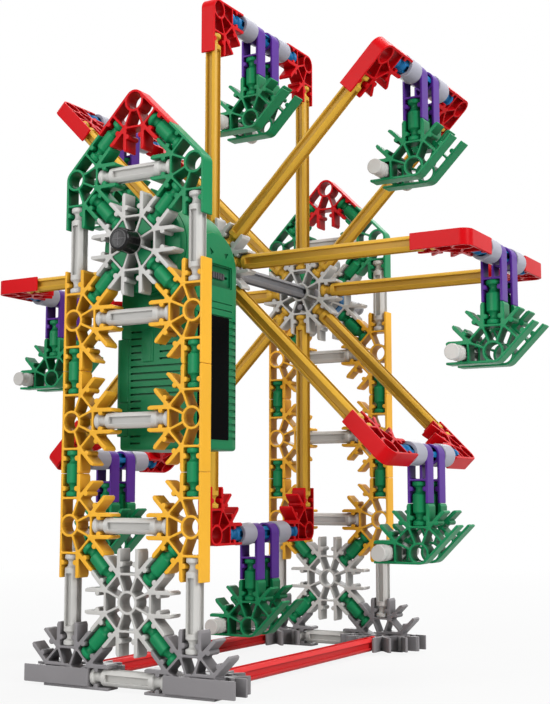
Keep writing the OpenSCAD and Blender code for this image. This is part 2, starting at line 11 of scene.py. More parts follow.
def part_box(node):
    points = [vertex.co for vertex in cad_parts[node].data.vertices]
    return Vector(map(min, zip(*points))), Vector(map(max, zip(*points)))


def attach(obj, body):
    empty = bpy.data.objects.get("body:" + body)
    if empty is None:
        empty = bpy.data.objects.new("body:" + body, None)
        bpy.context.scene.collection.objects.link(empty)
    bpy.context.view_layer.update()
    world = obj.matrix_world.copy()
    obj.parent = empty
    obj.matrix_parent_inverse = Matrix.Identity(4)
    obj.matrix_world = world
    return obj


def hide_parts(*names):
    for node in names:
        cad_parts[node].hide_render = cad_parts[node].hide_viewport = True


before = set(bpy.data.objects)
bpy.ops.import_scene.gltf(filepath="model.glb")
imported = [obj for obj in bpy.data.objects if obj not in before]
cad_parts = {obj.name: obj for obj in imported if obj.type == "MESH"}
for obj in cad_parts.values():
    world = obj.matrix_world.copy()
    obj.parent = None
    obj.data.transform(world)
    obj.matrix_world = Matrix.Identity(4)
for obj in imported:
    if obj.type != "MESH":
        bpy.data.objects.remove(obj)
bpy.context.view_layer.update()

MM = 0.001
scene = bpy.context.scene
scene.view_settings.view_transform = "Standard"

# Room
# A pale floor under a white studio surround. Soft lamps stand on the right, in front and behind.
# A strip overhead and a small lamp high at the back draw the bright edges.
WHITE = (1, 1, 1, 1)
FLOOR_WHITE = (0.55, 0.55, 0.55, 1)
FLOOR_SPAN = 6.0
SURROUND = 0.16


def new_material(name):
    material = bpy.data.materials.new(name)
    material.use_nodes = True
    material.node_tree.nodes.clear()
    return material, material.node_tree.nodes, material.node_tree.links


def add_node(nodes, kind, values=None, operation=None, group=None):
    """A shader node, with what it works out or stands for and the values of its open sockets."""
    made = nodes.new(kind)
    if operation:
        made.operation = operation
    if group:
        made.node_tree = group
    for socket, value in (values or {}).items():
        made.inputs[socket].default_value = value
    return made


world = bpy.data.worlds.new("studio_surround")
scene.world = world
world.use_nodes = True
sky, sky_links = world.node_tree.nodes, world.node_tree.links
sky.clear()
sky_out = add_node(sky, "ShaderNodeOutputWorld")
sky_light = add_node(sky, "ShaderNodeBackground", {"Color": WHITE, "Strength": SURROUND})
sky_seen = add_node(sky, "ShaderNodeBackground", {"Color": WHITE, "Strength": 1.0})
sky_path = add_node(sky, "ShaderNodeLightPath")
sky_sum = add_node(sky, "ShaderNodeMath", operation="ADD")
sky_all = add_node(sky, "ShaderNodeMath", operation="ADD")
sky_all.use_clamp = True
sky_mix = add_node(sky, "ShaderNodeMixShader")
sky_links.new(sky_path.outputs["Is Camera Ray"], sky_sum.inputs[0])
sky_links.new(sky_path.outputs["Is Glossy Ray"], sky_sum.inputs[1])
sky_links.new(sky_sum.outputs[0], sky_all.inputs[0])
sky_links.new(sky_path.outputs["Is Transmission Ray"], sky_all.inputs[1])
sky_links.new(sky_all.outputs[0], sky_mix.inputs[0])
sky_links.new(sky_light.outputs[0], sky_mix.inputs[1])
sky_links.new(sky_seen.outputs[0], sky_mix.inputs[2])
sky_links.new(sky_mix.outputs[0], sky_out.inputs["Surface"])

floor_mesh = bpy.data.meshes.new("studio_floor")
floor_mesh.from_pydata(
    [(-FLOOR_SPAN, -FLOOR_SPAN, 0), (FLOOR_SPAN, -FLOOR_SPAN, 0),
     (FLOOR_SPAN, FLOOR_SPAN, 0), (-FLOOR_SPAN, FLOOR_SPAN, 0)],
    [], [(0, 1, 2, 3)])
floor = bpy.data.objects.new("studio_floor", floor_mesh)
scene.collection.objects.link(floor)
floor_paint, nodes, links = new_material("floor_paper")
out = add_node(nodes, "ShaderNodeOutputMaterial")
paper = add_node(nodes, "ShaderNodeBsdfPrincipled",
                 {"Base Color": FLOOR_WHITE, "Roughness": 0.85, "Specular IOR Level": 0.1})
glow = add_node(nodes, "ShaderNodeEmission", {"Color": WHITE, "Strength": 1.0})
path = add_node(nodes, "ShaderNodeLightPath")
floor_place = add_node(nodes, "ShaderNodeTexCoord")
from_middle = add_node(nodes, "ShaderNodeVectorMath", operation="LENGTH")
fade = add_node(nodes, "ShaderNodeMapRange",
                {"From Min": 0.15, "From Max": 0.7, "To Min": 0.88, "To Max": 1.0})
seen = add_node(nodes, "ShaderNodeMath", operation="MULTIPLY")
blend = add_node(nodes, "ShaderNodeMixShader")
links.new(floor_place.outputs["Object"], from_middle.inputs[0])
links.new(from_middle.outputs["Value"], fade.inputs["Value"])
links.new(fade.outputs[0], seen.inputs[1])
links.new(path.outputs["Is Camera Ray"], seen.inputs[0])
links.new(seen.outputs[0], blend.inputs[0])
links.new(paper.outputs[0], blend.inputs[1])
links.new(glow.outputs[0], blend.inputs[2])
links.new(blend.outputs[0], out.inputs["Surface"])
floor_mesh.materials.append(floor_paint)


def soft_lamp(name, spot, aim, size, height, power):
    light = bpy.data.lights.new(name, "AREA")
    light.shape = "RECTANGLE"
    light.size = size
    light.size_y = height
    light.energy = power
    lamp = bpy.data.objects.new(name, light)
    lamp.location = spot
    lamp.rotation_euler = (Vector(aim) - Vector(spot)).to_track_quat("-Z", "Y").to_euler()
    scene.collection.objects.link(lamp)


wheel_middle = (0, 0, 0.15)
soft_lamp("key_softbox", (1.25, -0.35, 0.75), wheel_middle, 0.6, 0.6, 13.5)
soft_lamp("front_softbox", (-0.45, -1.25, 0.5), wheel_middle, 0.9, 0.8, 10.0)
soft_lamp("overhead_strip", (0.1, -0.1, 1.1), wheel_middle, 0.9, 0.3, 3.5)
soft_lamp("rim_softbox", (0.3, 0.55, 1.1), wheel_middle, 0.5, 0.4, 6.0)
soft_lamp("back_softbox", (-0.75, 1.15, 0.5), wheel_middle, 1.1, 1.0, 7.0)

# Camera
# It stands low on the motor's side and looks slightly up, as in the photograph. Its place is
# in millimetres from the middle of the two towers.
CAMERA_TURN = 30.16
CAMERA_TILT = -6.70
CAMERA_AT = (263.66, -428.78, 67.76)
LENS_MM = 41.83

axle_low, axle_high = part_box("axle")
tower_low, tower_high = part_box("axle_connectors")
centre_x = (axle_low.x + axle_high.x) / 2 / MM
centre_y = (tower_low.y + tower_high.y) / 2 / MM
camera_data = bpy.data.cameras.new("camera")
camera_data.sensor_fit = "VERTICAL"
camera_data.sensor_height = 24
camera_data.lens = LENS_MM
camera_data.clip_start = 0.01
camera = bpy.data.objects.new("camera", camera_data)
scene.collection.objects.link(camera)
turn, tilt = math.radians(CAMERA_TURN), math.radians(CAMERA_TILT)
right = Vector((math.cos(turn), math.sin(turn), 0))
back = Vector((math.sin(turn) * math.cos(tilt), -math.cos(turn) * math.cos(tilt), math.sin(tilt)))
up = back.cross(right)
spot = Vector((CAMERA_AT[0] + centre_x, CAMERA_AT[1] + centre_y, CAMERA_AT[2])) * MM
camera.matrix_world = Matrix((
    (right.x, up.x, back.x, spot.x),
    (right.y, up.y, back.y, spot.y),
    (right.z, up.z, back.z, spot.z),
    (0, 0, 0, 1)))
scene.camera = camera

# Feet
# Each foot is two grey moulded plates, 6.2 mm thick, pushed through one another at half-slots.
# The upright one stands on its flat edge and the flat one spreads the foot sideways.
PITCH = 37.5
BORE_R = 3.2
RING_R = 4.2
WEB = 0.9
PRONG = 1.5
PLATE = 6.2
SEAT = 10.3
ROD_AT = 10.35
NECK_AT = 2.9
BUMP_R = 1.0
BUMP_Y = 2.95
TIP = PITCH / 2 - 0.05
EDGE = 0.26
HALF_STEP = 22.5
DIAG = PITCH / math.sqrt(2)
TOWER_Y = 2 * PITCH
FOOT_Z = RING_R
WELD = 0.002
SHARP_FROM = math.radians(32)
# Painted shade in recesses: rays cast from each point of a shape count how enclosed it is, and the
# colour is darkened there.
SHADE_RAY_LIFT = 0.03
SHADE_RAY_REACH = 8
SHADE_GAIN = 1.6
SHADE_RAY_COUNT = 21
GOLDEN_TURN = 2.399963
DEEP_TONE = 0.86
# Colour in a full recess as a share of the plastic's colour: a painted shade.
PAINTED_SHADE_TONE = 0.5
COLOR_A, COLOR_B = 6, 7
COLOR_OUT = 2


def arc(x, y, radius, start, stop, count):
    """Points on a circle, with no corner to round."""
    steps = [math.radians(start + (stop - start) * k / count) for k in range(count + 1)]
    return [(x + radius * math.cos(a), y + radius * math.sin(a), 0) for a in steps]


def turned(points, degrees):
    c, s = math.cos(math.radians(degrees)), math.sin(math.radians(degrees))
    return [(x * c - y * s, x * s + y * c, r) for x, y, r in points]


def eased(points):
    """A closed outline with each corner rounded by the radius it carries."""
    made = []
    for k, (x, y, radius) in enumerate(points):
        if radius == 0:
            made.append((x, y))
            continue
        here = Vector((x, y))
        before = Vector(points[k - 1][:2]) - here
        after = Vector(points[(k + 1) % len(points)][:2]) - here
        angle = before.angle(after, math.pi)
        if angle > math.radians(175) or angle < math.radians(3):
            made.append((x, y))
            continue
        reach = min(radius / math.tan(angle / 2), before.length * 0.48, after.length * 0.48)
        first = here + before.normalized() * reach
        last = here + after.normalized() * reach
        for step in range(5):
            t = step / 4
            made.append(tuple(first * (1 - t) ** 2 + here * 2 * t * (1 - t) + last * t ** 2))
    return made


def socket_side(wall):
    """Half a socket that faces +X, from its floor along the prong to the tip."""
    half = [(SEAT, BORE_R, 0.45)]
    half += arc(ROD_AT + NECK_AT, BUMP_Y, BUMP_R, 165.5, 374.5, 8)
    half.append((TIP, BORE_R, 0.35))
    if wall:
        half.append((TIP, RING_R, 0.3))
    else:
        half += [(TIP, BORE_R + PRONG - 0.5, 0.35), (TIP - 1, BORE_R + PRONG, 0.8)]
    return half


def socket_edge(low_wall, high_wall):
    low = [(x, -y, r) for x, y, r in socket_side(low_wall)]
    return low[::-1] + socket_side(high_wall)


def fork(degrees):
    """The notch between the prongs of two sockets, half a step on from the first."""
    lateral = BORE_R + PRONG
    return turned([(lateral / math.tan(math.radians(HALF_STEP)), lateral, 0.5)], degrees)


def window(low_wall, high_wall):
    """The opening between ring and socket floor."""
    slope = math.tan(math.radians(HALF_STEP))
    slim = WEB / 2 / math.cos(math.radians(HALF_STEP))
    floor_x = SEAT - WEB
    free_y = floor_x * slope - slim
    ring_free = HALF_STEP - math.degrees(math.asin(WEB / 2 / RING_R))
    ring_wall = math.degrees(math.asin(BORE_R / RING_R))
    low = ring_wall if low_wall else ring_free
    high = ring_wall if high_wall else ring_free
    loop = arc(0, 0, RING_R, -low, high, 8)
    loop[0] = (loop[0][0], loop[0][1], 0.3)
    loop[-1] = (loop[-1][0], loop[-1][1], 0.3)
    loop.append((floor_x, BORE_R if high_wall else free_y, 0.6))
    loop.append((floor_x, -(BORE_R if low_wall else free_y), 0.6))
    return loop


def connector_loops(first, count):
    """Outline, windows and centre hole of a connector with count sockets from the first turn."""
    whole = count == 8
    outline, loops = [], []
    for k in range(count):
        low_wall = not whole and k == 0
        high_wall = not whole and k == count - 1
        degrees = first + 2 * HALF_STEP * k
        outline += turned(socket_edge(low_wall, high_wall), degrees)
        if not high_wall:
            outline += fork(degrees)
        loops.append(eased(turned(window(low_wall, high_wall), degrees)))
    if not whole:
        start, stop = first + 45 * (count - 1) + 90, first - 90 + 360
        steps = max(1, round((stop - start) / 7.5))
        outline += arc(0, 0, RING_R, start, stop, steps)
    loops.append([p[:2] for p in arc(0, 0, BORE_R, 0, 352.5, 47)])
    return [eased(outline)] + loops


def welded(work):
    """The points and faces of a closed shape, with its doubled points joined."""
    bmesh.ops.remove_doubles(work, verts=work.verts, dist=WELD)
    bmesh.ops.recalc_face_normals(work, faces=work.faces)
    work.verts.index_update()
    points = np.array([v.co[:] for v in work.verts])
    faces = [[v.index for v in face.verts] for face in work.faces]
    work.free()
    return points, faces


def plate_shape(loops, thick=PLATE, edge=EDGE):
    """A flat moulding with rounded edges, as vertices in mm and faces. It lies in X and Y."""
    curve = bpy.data.curves.new("outline", "CURVE")
    curve.dimensions = "2D"
    curve.fill_mode = "BOTH"
    for loop in loops:
        spline = curve.splines.new("POLY")
        spline.points.add(len(loop) - 1)
        for point, (x, y) in zip(spline.points, loop):
            point.co = (x, y, 0, 1)
        spline.use_cyclic_u = True
    curve.extrude = thick / 2 - edge
    curve.bevel_depth = edge
    curve.bevel_resolution = 1
    curve.offset = -edge
    carrier = bpy.data.objects.new("outline", curve)
    scene.collection.objects.link(carrier)
    shaped = carrier.evaluated_get(bpy.context.evaluated_depsgraph_get())
    mesh = bpy.data.meshes.new_from_object(shaped)
    work = bmesh.new()
    work.from_mesh(mesh)
    bpy.data.objects.remove(carrier)
    bpy.data.curves.remove(curve)
    bpy.data.meshes.remove(mesh)
    return welded(work)


def spot_at(x, y, z, rotation=None):
    """Where a copy stands: millimetres from the middle of the towers, on the ground."""
    shift = Matrix.Translation((x + centre_x, y + centre_y, z))
    return shift @ rotation if rotation else shift


# Ray directions for the painted shade, spread over a half sphere.
recess_rays = []
for ray in range(SHADE_RAY_COUNT):
    lean = math.sqrt((ray + 0.5) / SHADE_RAY_COUNT)
    recess_rays.append((lean * math.cos(GOLDEN_TURN * ray), lean * math.sin(GOLDEN_TURN * ray),
                        math.sqrt(1 - lean ** 2)))
known_recesses = {}


def recess_of(shape_points, shape_faces):
    """How enclosed each point of a shape is, from 0 in the open to 1 in a deep recess, kept as
    painted shade.

    Rays leave each point over the side that its largest face looks to."""
    corners = [Vector(p) for p in shape_points.tolist()]
    tree = BVHTree.FromPolygons(corners, shape_faces)
    largest = [0.0] * len(corners)
    facing = [Vector((0, 0, 1))] * len(corners)
    for face in shape_faces:
        first = corners[face[0]]
        total = Vector((0, 0, 0))
        for a, b in zip(face[1:], face[2:]):
            total += (corners[a] - first).cross(corners[b] - first)
        for k in face:
            if total.length > largest[k]:
                largest[k], facing[k] = total.length, total.normalized()
    enclosed = []
    for corner, normal in zip(corners, facing):
        side = normal.orthogonal().normalized()
        other = normal.cross(side)
        start = corner + normal * SHADE_RAY_LIFT
        hits = 0
        for x, y, z in recess_rays:
            if tree.ray_cast(start, side * x + other * y + normal * z, SHADE_RAY_REACH)[0]:
                hits += 1
        enclosed.append(min(1.0, hits * SHADE_GAIN / SHADE_RAY_COUNT))
    return enclosed


def mesh_of(name, parts, shade_depth):
    """One mesh of several copies, each a shape and its matrix, with a tone of its own.

    Shade depth says how strongly the painted shade in the recesses darkens the colour."""
    dice = random.Random(name)
    points, faces, tones, recesses = [], [], [], []
    base = 0
    for (shape_points, shape_faces), matrix in parts:
        grid = np.array(matrix)
        placed = shape_points @ grid[:3, :3].T + grid[:3, 3]
        flipped = np.linalg.det(grid[:3, :3]) < 0
        points.append(placed * MM)
        for face in shape_faces:
            order = face[::-1] if flipped else face
            faces.append([base + k for k in order])
        tones += [dice.uniform(-1, 1)] * len(placed)
        # Painted shade of each shape, worked out once and stored on its points.
        if id(shape_points) not in known_recesses:
            known_recesses[id(shape_points)] = shape_points, recess_of(shape_points, shape_faces)
        recesses += known_recesses[id(shape_points)][1]
        base += len(placed)
    mesh = bpy.data.meshes.new(name)
    mesh.from_pydata(np.concatenate(points).tolist(), [], faces)
    tone = mesh.attributes.new("tone", "FLOAT", "POINT")
    tone.data.foreach_set("value", tones)
    recess = mesh.attributes.new("recess", "FLOAT", "POINT")
    recess.data.foreach_set("value", [shade_depth * value for value in recesses])
    mesh.shade_smooth()
    mesh.set_sharp_from_angle(angle=SHARP_FROM)
    return mesh


def put(name, parts, material, body, node, shade_depth=1.0):
    """Sets a finished mesh of placed shapes in place of its CAD node."""
    mesh = mesh_of(name, parts, shade_depth)
    mesh.materials.append(material)
    piece = bpy.data.objects.new(name, mesh)
    scene.collection.objects.link(piece)
    leaned = piece.modifiers.new("flat_faces_first", "WEIGHTED_NORMAL")
    leaned.keep_sharp = True
    leaned.mode = "FACE_AREA"
    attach(piece, body)
    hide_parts(node)


def new_group(name, inputs, outputs):
    """A node group with its named sockets, and its own input and output nodes."""
    group = bpy.data.node_groups.new(name, "ShaderNodeTree")
    for way, sockets in (("INPUT", inputs), ("OUTPUT", outputs)):
        for socket, kind in sockets.items():
            group.interface.new_socket(socket, in_out=way, socket_type="NodeSocket" + kind)
    ins, outs = group.nodes.new("NodeGroupInput"), group.nodes.new("NodeGroupOutput")
    return group, group.nodes, group.links, ins, outs


def moulded_group():
    """Colour, roughness and height of glossy injection-moulded plastic, with painted shade
    darkening the colour in recesses.
    """
    group, nodes, links, ins, outs = new_group(
        "moulded_plastic",
        {"Base": "Color", "Deep": "Color", "Painted Shade": "Color", "Gloss": "Float", "Spread": "Float"},
        {"Color": "Color", "Roughness": "Float", "Height": "Float"})
    place = add_node(nodes, "ShaderNodeTexCoord")
    flow = add_node(nodes, "ShaderNodeTexNoise", {"Scale": 55, "Detail": 3})
    swirl = add_node(nodes, "ShaderNodeTexNoise", {"Scale": 420, "Detail": 2})
    skin = add_node(nodes, "ShaderNodeTexNoise", {"Scale": 2600, "Detail": 1})
    for noise in (flow, swirl, skin):
        links.new(place.outputs["Object"], noise.inputs["Vector"])
    tone = add_node(nodes, "ShaderNodeAttribute")
    tone.attribute_name = "tone"
    lean = add_node(nodes, "ShaderNodeMath", {1: 0.22, 2: 0.0}, "MULTIPLY_ADD")
    links.new(tone.outputs["Fac"], lean.inputs[0])
    drift = add_node(nodes, "ShaderNodeMapRange",
                     {"From Min": 0.3, "From Max": 0.7, "To Min": 0.15, "To Max": 0.6})
    links.new(flow.outputs["Fac"], drift.inputs["Value"])
    total = add_node(nodes, "ShaderNodeMath", operation="ADD")
    total.use_clamp = True
    links.new(drift.outputs[0], total.inputs[0])
    links.new(lean.outputs[0], total.inputs[1])
    mixed = add_node(nodes, "ShaderNodeMix")
    mixed.data_type = "RGBA"
    links.new(total.outputs[0], mixed.inputs[0])
    links.new(ins.outputs["Base"], mixed.inputs[COLOR_A])
    links.new(ins.outputs["Deep"], mixed.inputs[COLOR_B])
    # Painted shade: the colour darkens towards a shade colour where the point lies in a recess.
    recess = add_node(nodes, "ShaderNodeAttribute")
    recess.attribute_name = "recess"
    shade_painted = add_node(nodes, "ShaderNodeMix")
    shade_painted.data_type = "RGBA"
    links.new(recess.outputs["Fac"], shade_painted.inputs[0])
    links.new(mixed.outputs[COLOR_OUT], shade_painted.inputs[COLOR_A])
    links.new(ins.outputs["Painted Shade"], shade_painted.inputs[COLOR_B])
    links.new(shade_painted.outputs[COLOR_OUT], outs.inputs["Color"])
    matte = add_node(nodes, "ShaderNodeMath", operation="MULTIPLY_ADD")
    links.new(swirl.outputs["Fac"], matte.inputs[0])
    links.new(ins.outputs["Spread"], matte.inputs[1])
    links.new(ins.outputs["Gloss"], matte.inputs[2])
    links.new(matte.outputs[0], outs.inputs["Roughness"])
    height = add_node(nodes, "ShaderNodeMath", {1: 0.25}, "MULTIPLY_ADD")
    links.new(skin.outputs["Fac"], height.inputs[0])
    links.new(swirl.outputs["Fac"], height.inputs[2])
    links.new(height.outputs[0], outs.inputs["Height"])
    return group


moulded = moulded_group()


def plastic(name, color, gloss=0.26, spread=0.1, bump=0.04, shine=0.14):
    """A moulded plastic. Its colour drifts a little to a deeper tone, and painted shade darkens it
    in recesses.
    """
    material, nodes, links = new_material(name)
    surface_out = add_node(nodes, "ShaderNodeOutputMaterial")
    shader = add_node(nodes, "ShaderNodeBsdfPrincipled", {"Specular IOR Level": shine})
    deep = [DEEP_TONE * c for c in color]
    # The painted shade colour for the recesses, half as bright as the plastic.
    shade_painted = [PAINTED_SHADE_TONE * c for c in color]
    finish = add_node(nodes, "ShaderNodeGroup",
                      {"Base": (*color, 1), "Deep": (*deep, 1), "Painted Shade": (*shade_painted, 1),
                       "Gloss": gloss, "Spread": spread}, group=moulded)
    relief = add_node(nodes, "ShaderNodeBump", {"Strength": bump, "Distance": 0.0004})
    links.new(finish.outputs["Color"], shader.inputs["Base Color"])
    links.new(finish.outputs["Roughness"], shader.inputs["Roughness"])
    links.new(finish.outputs["Height"], relief.inputs["Height"])
    links.new(relief.outputs["Normal"], shader.inputs["Normal"])
    links.new(shader.outputs[0], surface_out.inputs["Surface"])
    return material


def slotted_loops():
    """A foot plate: four sockets to the right of a half-slot, over a flat edge."""
    slot_y = PLATE / 2 + 0.05
    slot_floor = 0.05
    heel_x = -TIP * 0.579
    outline, loops = [], []
    for k in range(4):
        outline += turned(socket_edge(k == 0, False), 45 * k)
        if k < 3:
            outline += fork(45 * k)
            loops.append(eased(turned(window(k == 0, False), 45 * k)))
    outline += [(heel_x, RING_R, 0.3), (-SEAT, slot_y + 0.5, 0.3), (-SEAT, slot_y, 0.3),
                (slot_floor, slot_y, 0.3), (slot_floor, -slot_y, 0.3), (-SEAT, -slot_y, 0.3),
                (-SEAT, -RING_R, 0.3)]
    last_window = [(4.9, -1.35, 0.4), (SEAT - WEB, -3.4, 0.5), (SEAT - WEB, 3.1, 0.5)]
    loops.append(eased(turned(last_window, 135)))
    return [eased(outline)] + loops


grey_plastic = plastic("grey_plastic", (0.275, 0.263, 0.273))
slotted = plate_shape(slotted_loops())
upright = Matrix.Rotation(math.radians(90), 4, "X")
mirror_x = Matrix.Scale(-1, 4, (1, 0, 0))
mirror_y = Matrix.Scale(-1, 4, (0, 1, 0))
sides = (-1, 1)
uprights, flats = [], []
for tower in sides:
    for leg in sides:
        own = mirror_x if leg > 0 else Matrix.Identity(4)
        uprights.append((slotted, spot_at(leg * DIAG, tower * TOWER_Y, FOOT_Z, upright @ own)))
        flip = mirror_x if leg < 0 else Matrix.Identity(4)
        if tower > 0:
            flip = flip @ mirror_y
        flats.append((slotted, spot_at(leg * DIAG, tower * TOWER_Y, FOOT_Z, flip)))
put("foot_uprights", uprights, grey_plastic, "frame", "foot_upright_plates")
put("foot_flats", flats, grey_plastic, "frame", "foot_flat_plates")

# Base rods
# Two long rods of red plastic tie the feet of the towers together. Like every long rod of the set,
# each has a flange and a waist at both ends, and four long grooves that keep its walls thin.
ROD_R = 3.1
ROD_SIDES = 64
SHOULDER_FROM = 5.1
GROOVE_FROM = 6.8
GROOVE_HALF = 1.2
GROOVE_FLOOR = ROD_R - 1.5


def rod_shape(length, grooved=True):
    """A rod along +X from the origin, as vertices in mm and faces."""
    angles = [0, 6, 12, 17.5, 22.5, 25.2, 32, 38.5]
    cut = {0: (0, GROOVE_FLOOR), 1: (0.6, GROOVE_FLOOR), 2: (1.08, GROOVE_FLOOR + 0.04),
           3: (GROOVE_HALF, GROOVE_FLOOR + 0.22), 4: (GROOVE_HALF, ROD_R - 0.36)}

    def section(radius, open_groove):
        eighth = []
        for k, angle in enumerate(angles):
            a = math.radians(angle)
            across, out_by = radius * math.sin(a), radius * math.cos(a)
            if open_groove and k in cut:
                across, out_by = cut[k]
            eighth.append((across, out_by))
        a = math.radians(45)
        quarter = eighth + [(radius * math.sin(a), radius * math.cos(a))]
        quarter += [(y, x) for x, y in eighth[:0:-1]]
        ring = []
        for step in range(4):
            c, s = math.cos(step * math.pi / 2), math.sin(step * math.pi / 2)
            ring += [(x * c + y * s, -x * s + y * c) for x, y in quarter]
        return ring

    neck_top = ROD_R - 0.02
    end = [(0, 2.72, False), (0.1, 2.92, False), (0.3, ROD_R - 0.04, False), (0.6, ROD_R, False),
           (1.45, ROD_R, False)]
    for angle in (-84, -66, -44, -22, 0, 22, 44, 66, 84):
        a = math.radians(angle)
        slope = 1.1 if angle < 0 else 1.9
        neck_r = min(neck_top, BUMP_Y - 1.1 * math.cos(a))
        end.append((NECK_AT + slope * math.sin(a), neck_r, False))
    end += [(SHOULDER_FROM, ROD_R, False)]
    if grooved:
        end += [(GROOVE_FROM, ROD_R, False), (GROOVE_FROM + 0.06, ROD_R, True)]
    stations = end + [(length - x, r, g) for x, r, g in end[::-1]]
    points, faces = [], []
    for x, radius, open_groove in stations:
        points += [(x, y, z) for y, z in section(radius, open_groove)]
    for k in range(len(stations) - 1):
        here, there = k * ROD_SIDES, (k + 1) * ROD_SIDES
        for j in range(ROD_SIDES):
            j2 = (j + 1) % ROD_SIDES
            faces.append([here + j, there + j, there + j2, here + j2])
    faces.append(list(range(ROD_SIDES)))
    faces.append([len(points) - 1 - j for j in range(ROD_SIDES)])
    return np.array(points), faces


def across(x_from, z_from, x_to, z_to, tower):
    """Where a rod between two connector centres of a tower starts, and which way it points."""
    angle = math.atan2(z_to - z_from, x_to - x_from)
    return spot_at(x_from + ROD_AT * math.cos(angle), tower * TOWER_Y,
                   z_from + ROD_AT * math.sin(angle), Matrix.Rotation(-angle, 4, "Y"))


along_y = Matrix.Rotation(math.radians(90), 4, "Z")
red_plastic = plastic("red_plastic", (0.67, 0.004, 0.008), shine=0.09)
# Painted highlight: the base rods are a lighter red than the red connectors, standing for the light
# on their tops; their slightly glossier finish is real.
highlight_red_rod = plastic("red_rod_plastic", (0.8, 0.035, 0.037))
base_rod = rod_shape(4 * PITCH - 2 * ROD_AT)
base_parts = [(base_rod, spot_at(leg * DIAG, ROD_AT - TOWER_Y, FOOT_Z, along_y)) for leg in sides]
put("base_rods", base_parts, highlight_red_rod, "frame", "base_rods", shade_depth=0.3)

# Brace connectors
# A white eight-way snowflake near the foot of each tower holds the ends of four green braces.
# It is moulded ABS, its prongs spring apart as a rod is pushed in, and its centre stays empty.
BRACE_Z = FOOT_Z + DIAG
white_plastic = plastic("white_plastic", (0.64, 0.63, 0.605))
eight_way = plate_shape(connector_loops(0, 8))
brace_parts = [(eight_way, spot_at(0, tower * TOWER_Y, BRACE_Z, upright)) for tower in sides]
put("brace_connectors", brace_parts, white_plastic, "frame", "brace_connectors")

# Tower connectors
# Three five-way connectors moulded in yellow plastic stand above one another in each leg. Their
# straight backs face outward and their sockets face the middle of the tower.
LOW_Z = BRACE_Z + DIAG
MID_Z = LOW_Z + PITCH
HIGH_Z = MID_Z + PITCH
yellow_plastic = plastic("yellow_plastic", (0.94, 0.485, 0.042), shine=0.09)
five_way = plate_shape(connector_loops(90, 5))
yellow_parts = []
for tower in sides:
    for leg in sides:
        facing = mirror_x if leg < 0 else Matrix.Identity(4)
        for z in (LOW_Z, MID_Z, HIGH_Z):
            yellow_parts.append(
                (five_way, spot_at(leg * DIAG, tower * TOWER_Y, z, upright @ facing)))
put("yellow_connectors", yellow_parts, yellow_plastic, "frame", "yellow_connectors")

# White tower rods
# Nine grooved rods of white plastic in each tower: five across it, and four upright ones in the
# lower and upper legs. Their ends are pushed into the sockets until the prongs close on the waists.
AXLE_Z = HIGH_Z + DIAG
SHOULDER_Z = AXLE_Z + DIAG
grooved_rod = rod_shape(2 * DIAG - 2 * ROD_AT)
white_parts = []
for tower in sides:
    for z in (FOOT_Z, LOW_Z, MID_Z, HIGH_Z, SHOULDER_Z):
        white_parts.append((grooved_rod, across(-DIAG, z, DIAG, z, tower)))
    for leg in sides:
        for low, high in ((FOOT_Z, LOW_Z), (HIGH_Z, SHOULDER_Z)):
            white_parts.append((grooved_rod, across(leg * DIAG, low, leg * DIAG, high, tower)))
put("tower_long_rods", white_parts, white_plastic, "frame", "tower_long_rods",
    shade_depth=0.22)

# Green tower rods
# Fourteen short smooth rods of green plastic in each tower: crossed braces below, two upright ones
# in each leg, four round the axle connector, and the two sides of the gable.
APEX_Z = SHOULDER_Z + DIAG
green_plastic = plastic("green_plastic", (0.01, 0.255, 0.096))
short_rod = rod_shape(PITCH - 2 * ROD_AT, grooved=False)
green_parts = []
for tower in sides:
    for leg in sides:
        for start, end in (((DIAG, FOOT_Z), (0, BRACE_Z)), ((0, BRACE_Z), (DIAG, LOW_Z)),
                           ((DIAG, LOW_Z), (DIAG, MID_Z)), ((DIAG, MID_Z), (DIAG, HIGH_Z)),
                           ((DIAG, HIGH_Z), (0, AXLE_Z)), ((0, AXLE_Z), (DIAG, SHOULDER_Z)),
                           ((DIAG, SHOULDER_Z), (0, APEX_Z))):
            green_parts.append(
                (short_rod, across(leg * start[0], start[1], leg * end[0], end[1], tower)))
put("tower_short_rods", green_parts, green_plastic, "frame", "tower_short_rods")

# Axle connectors
# The same white snowflake high in each tower is the bearing: the axle turns in its centre hole,
# and four pegs of the motor's gear housing fill windows of the near one.
bearing_parts = [(eight_way, spot_at(0, tower * TOWER_Y, AXLE_Z, upright)) for tower in sides]
put("axle_connectors", bearing_parts, white_plastic, "frame", "axle_connectors")

# Shoulder connectors
# Green four-way connectors at the top corners of each tower turn the legs into the gable. They are
# moulded plates like the yellow ones, and rods snap into their four sockets.
four_way = plate_shape(connector_loops(135, 4))
shoulder_parts = []
for tower in sides:
    for leg in sides:
        facing = mirror_x if leg < 0 else Matrix.Identity(4)
        shoulder_parts.append(
            (four_way, spot_at(leg * DIAG, tower * TOWER_Y, SHOULDER_Z, upright @ facing)))
put("shoulder_connectors", shoulder_parts, green_plastic, "frame", "shoulder_connectors")

# Apex connectors
# A red three-way connector closes each gable. It is a moulded plate that holds the two sloping
# rods, and its middle socket points down and is left empty.
three_way_down = plate_shape(connector_loops(225, 3))
apex_parts = [(three_way_down, spot_at(0, tower * TOWER_Y, APEX_Z, upright)) for tower in sides]
put("apex_connectors", apex_parts, red_plastic, "frame", "apex_connectors")

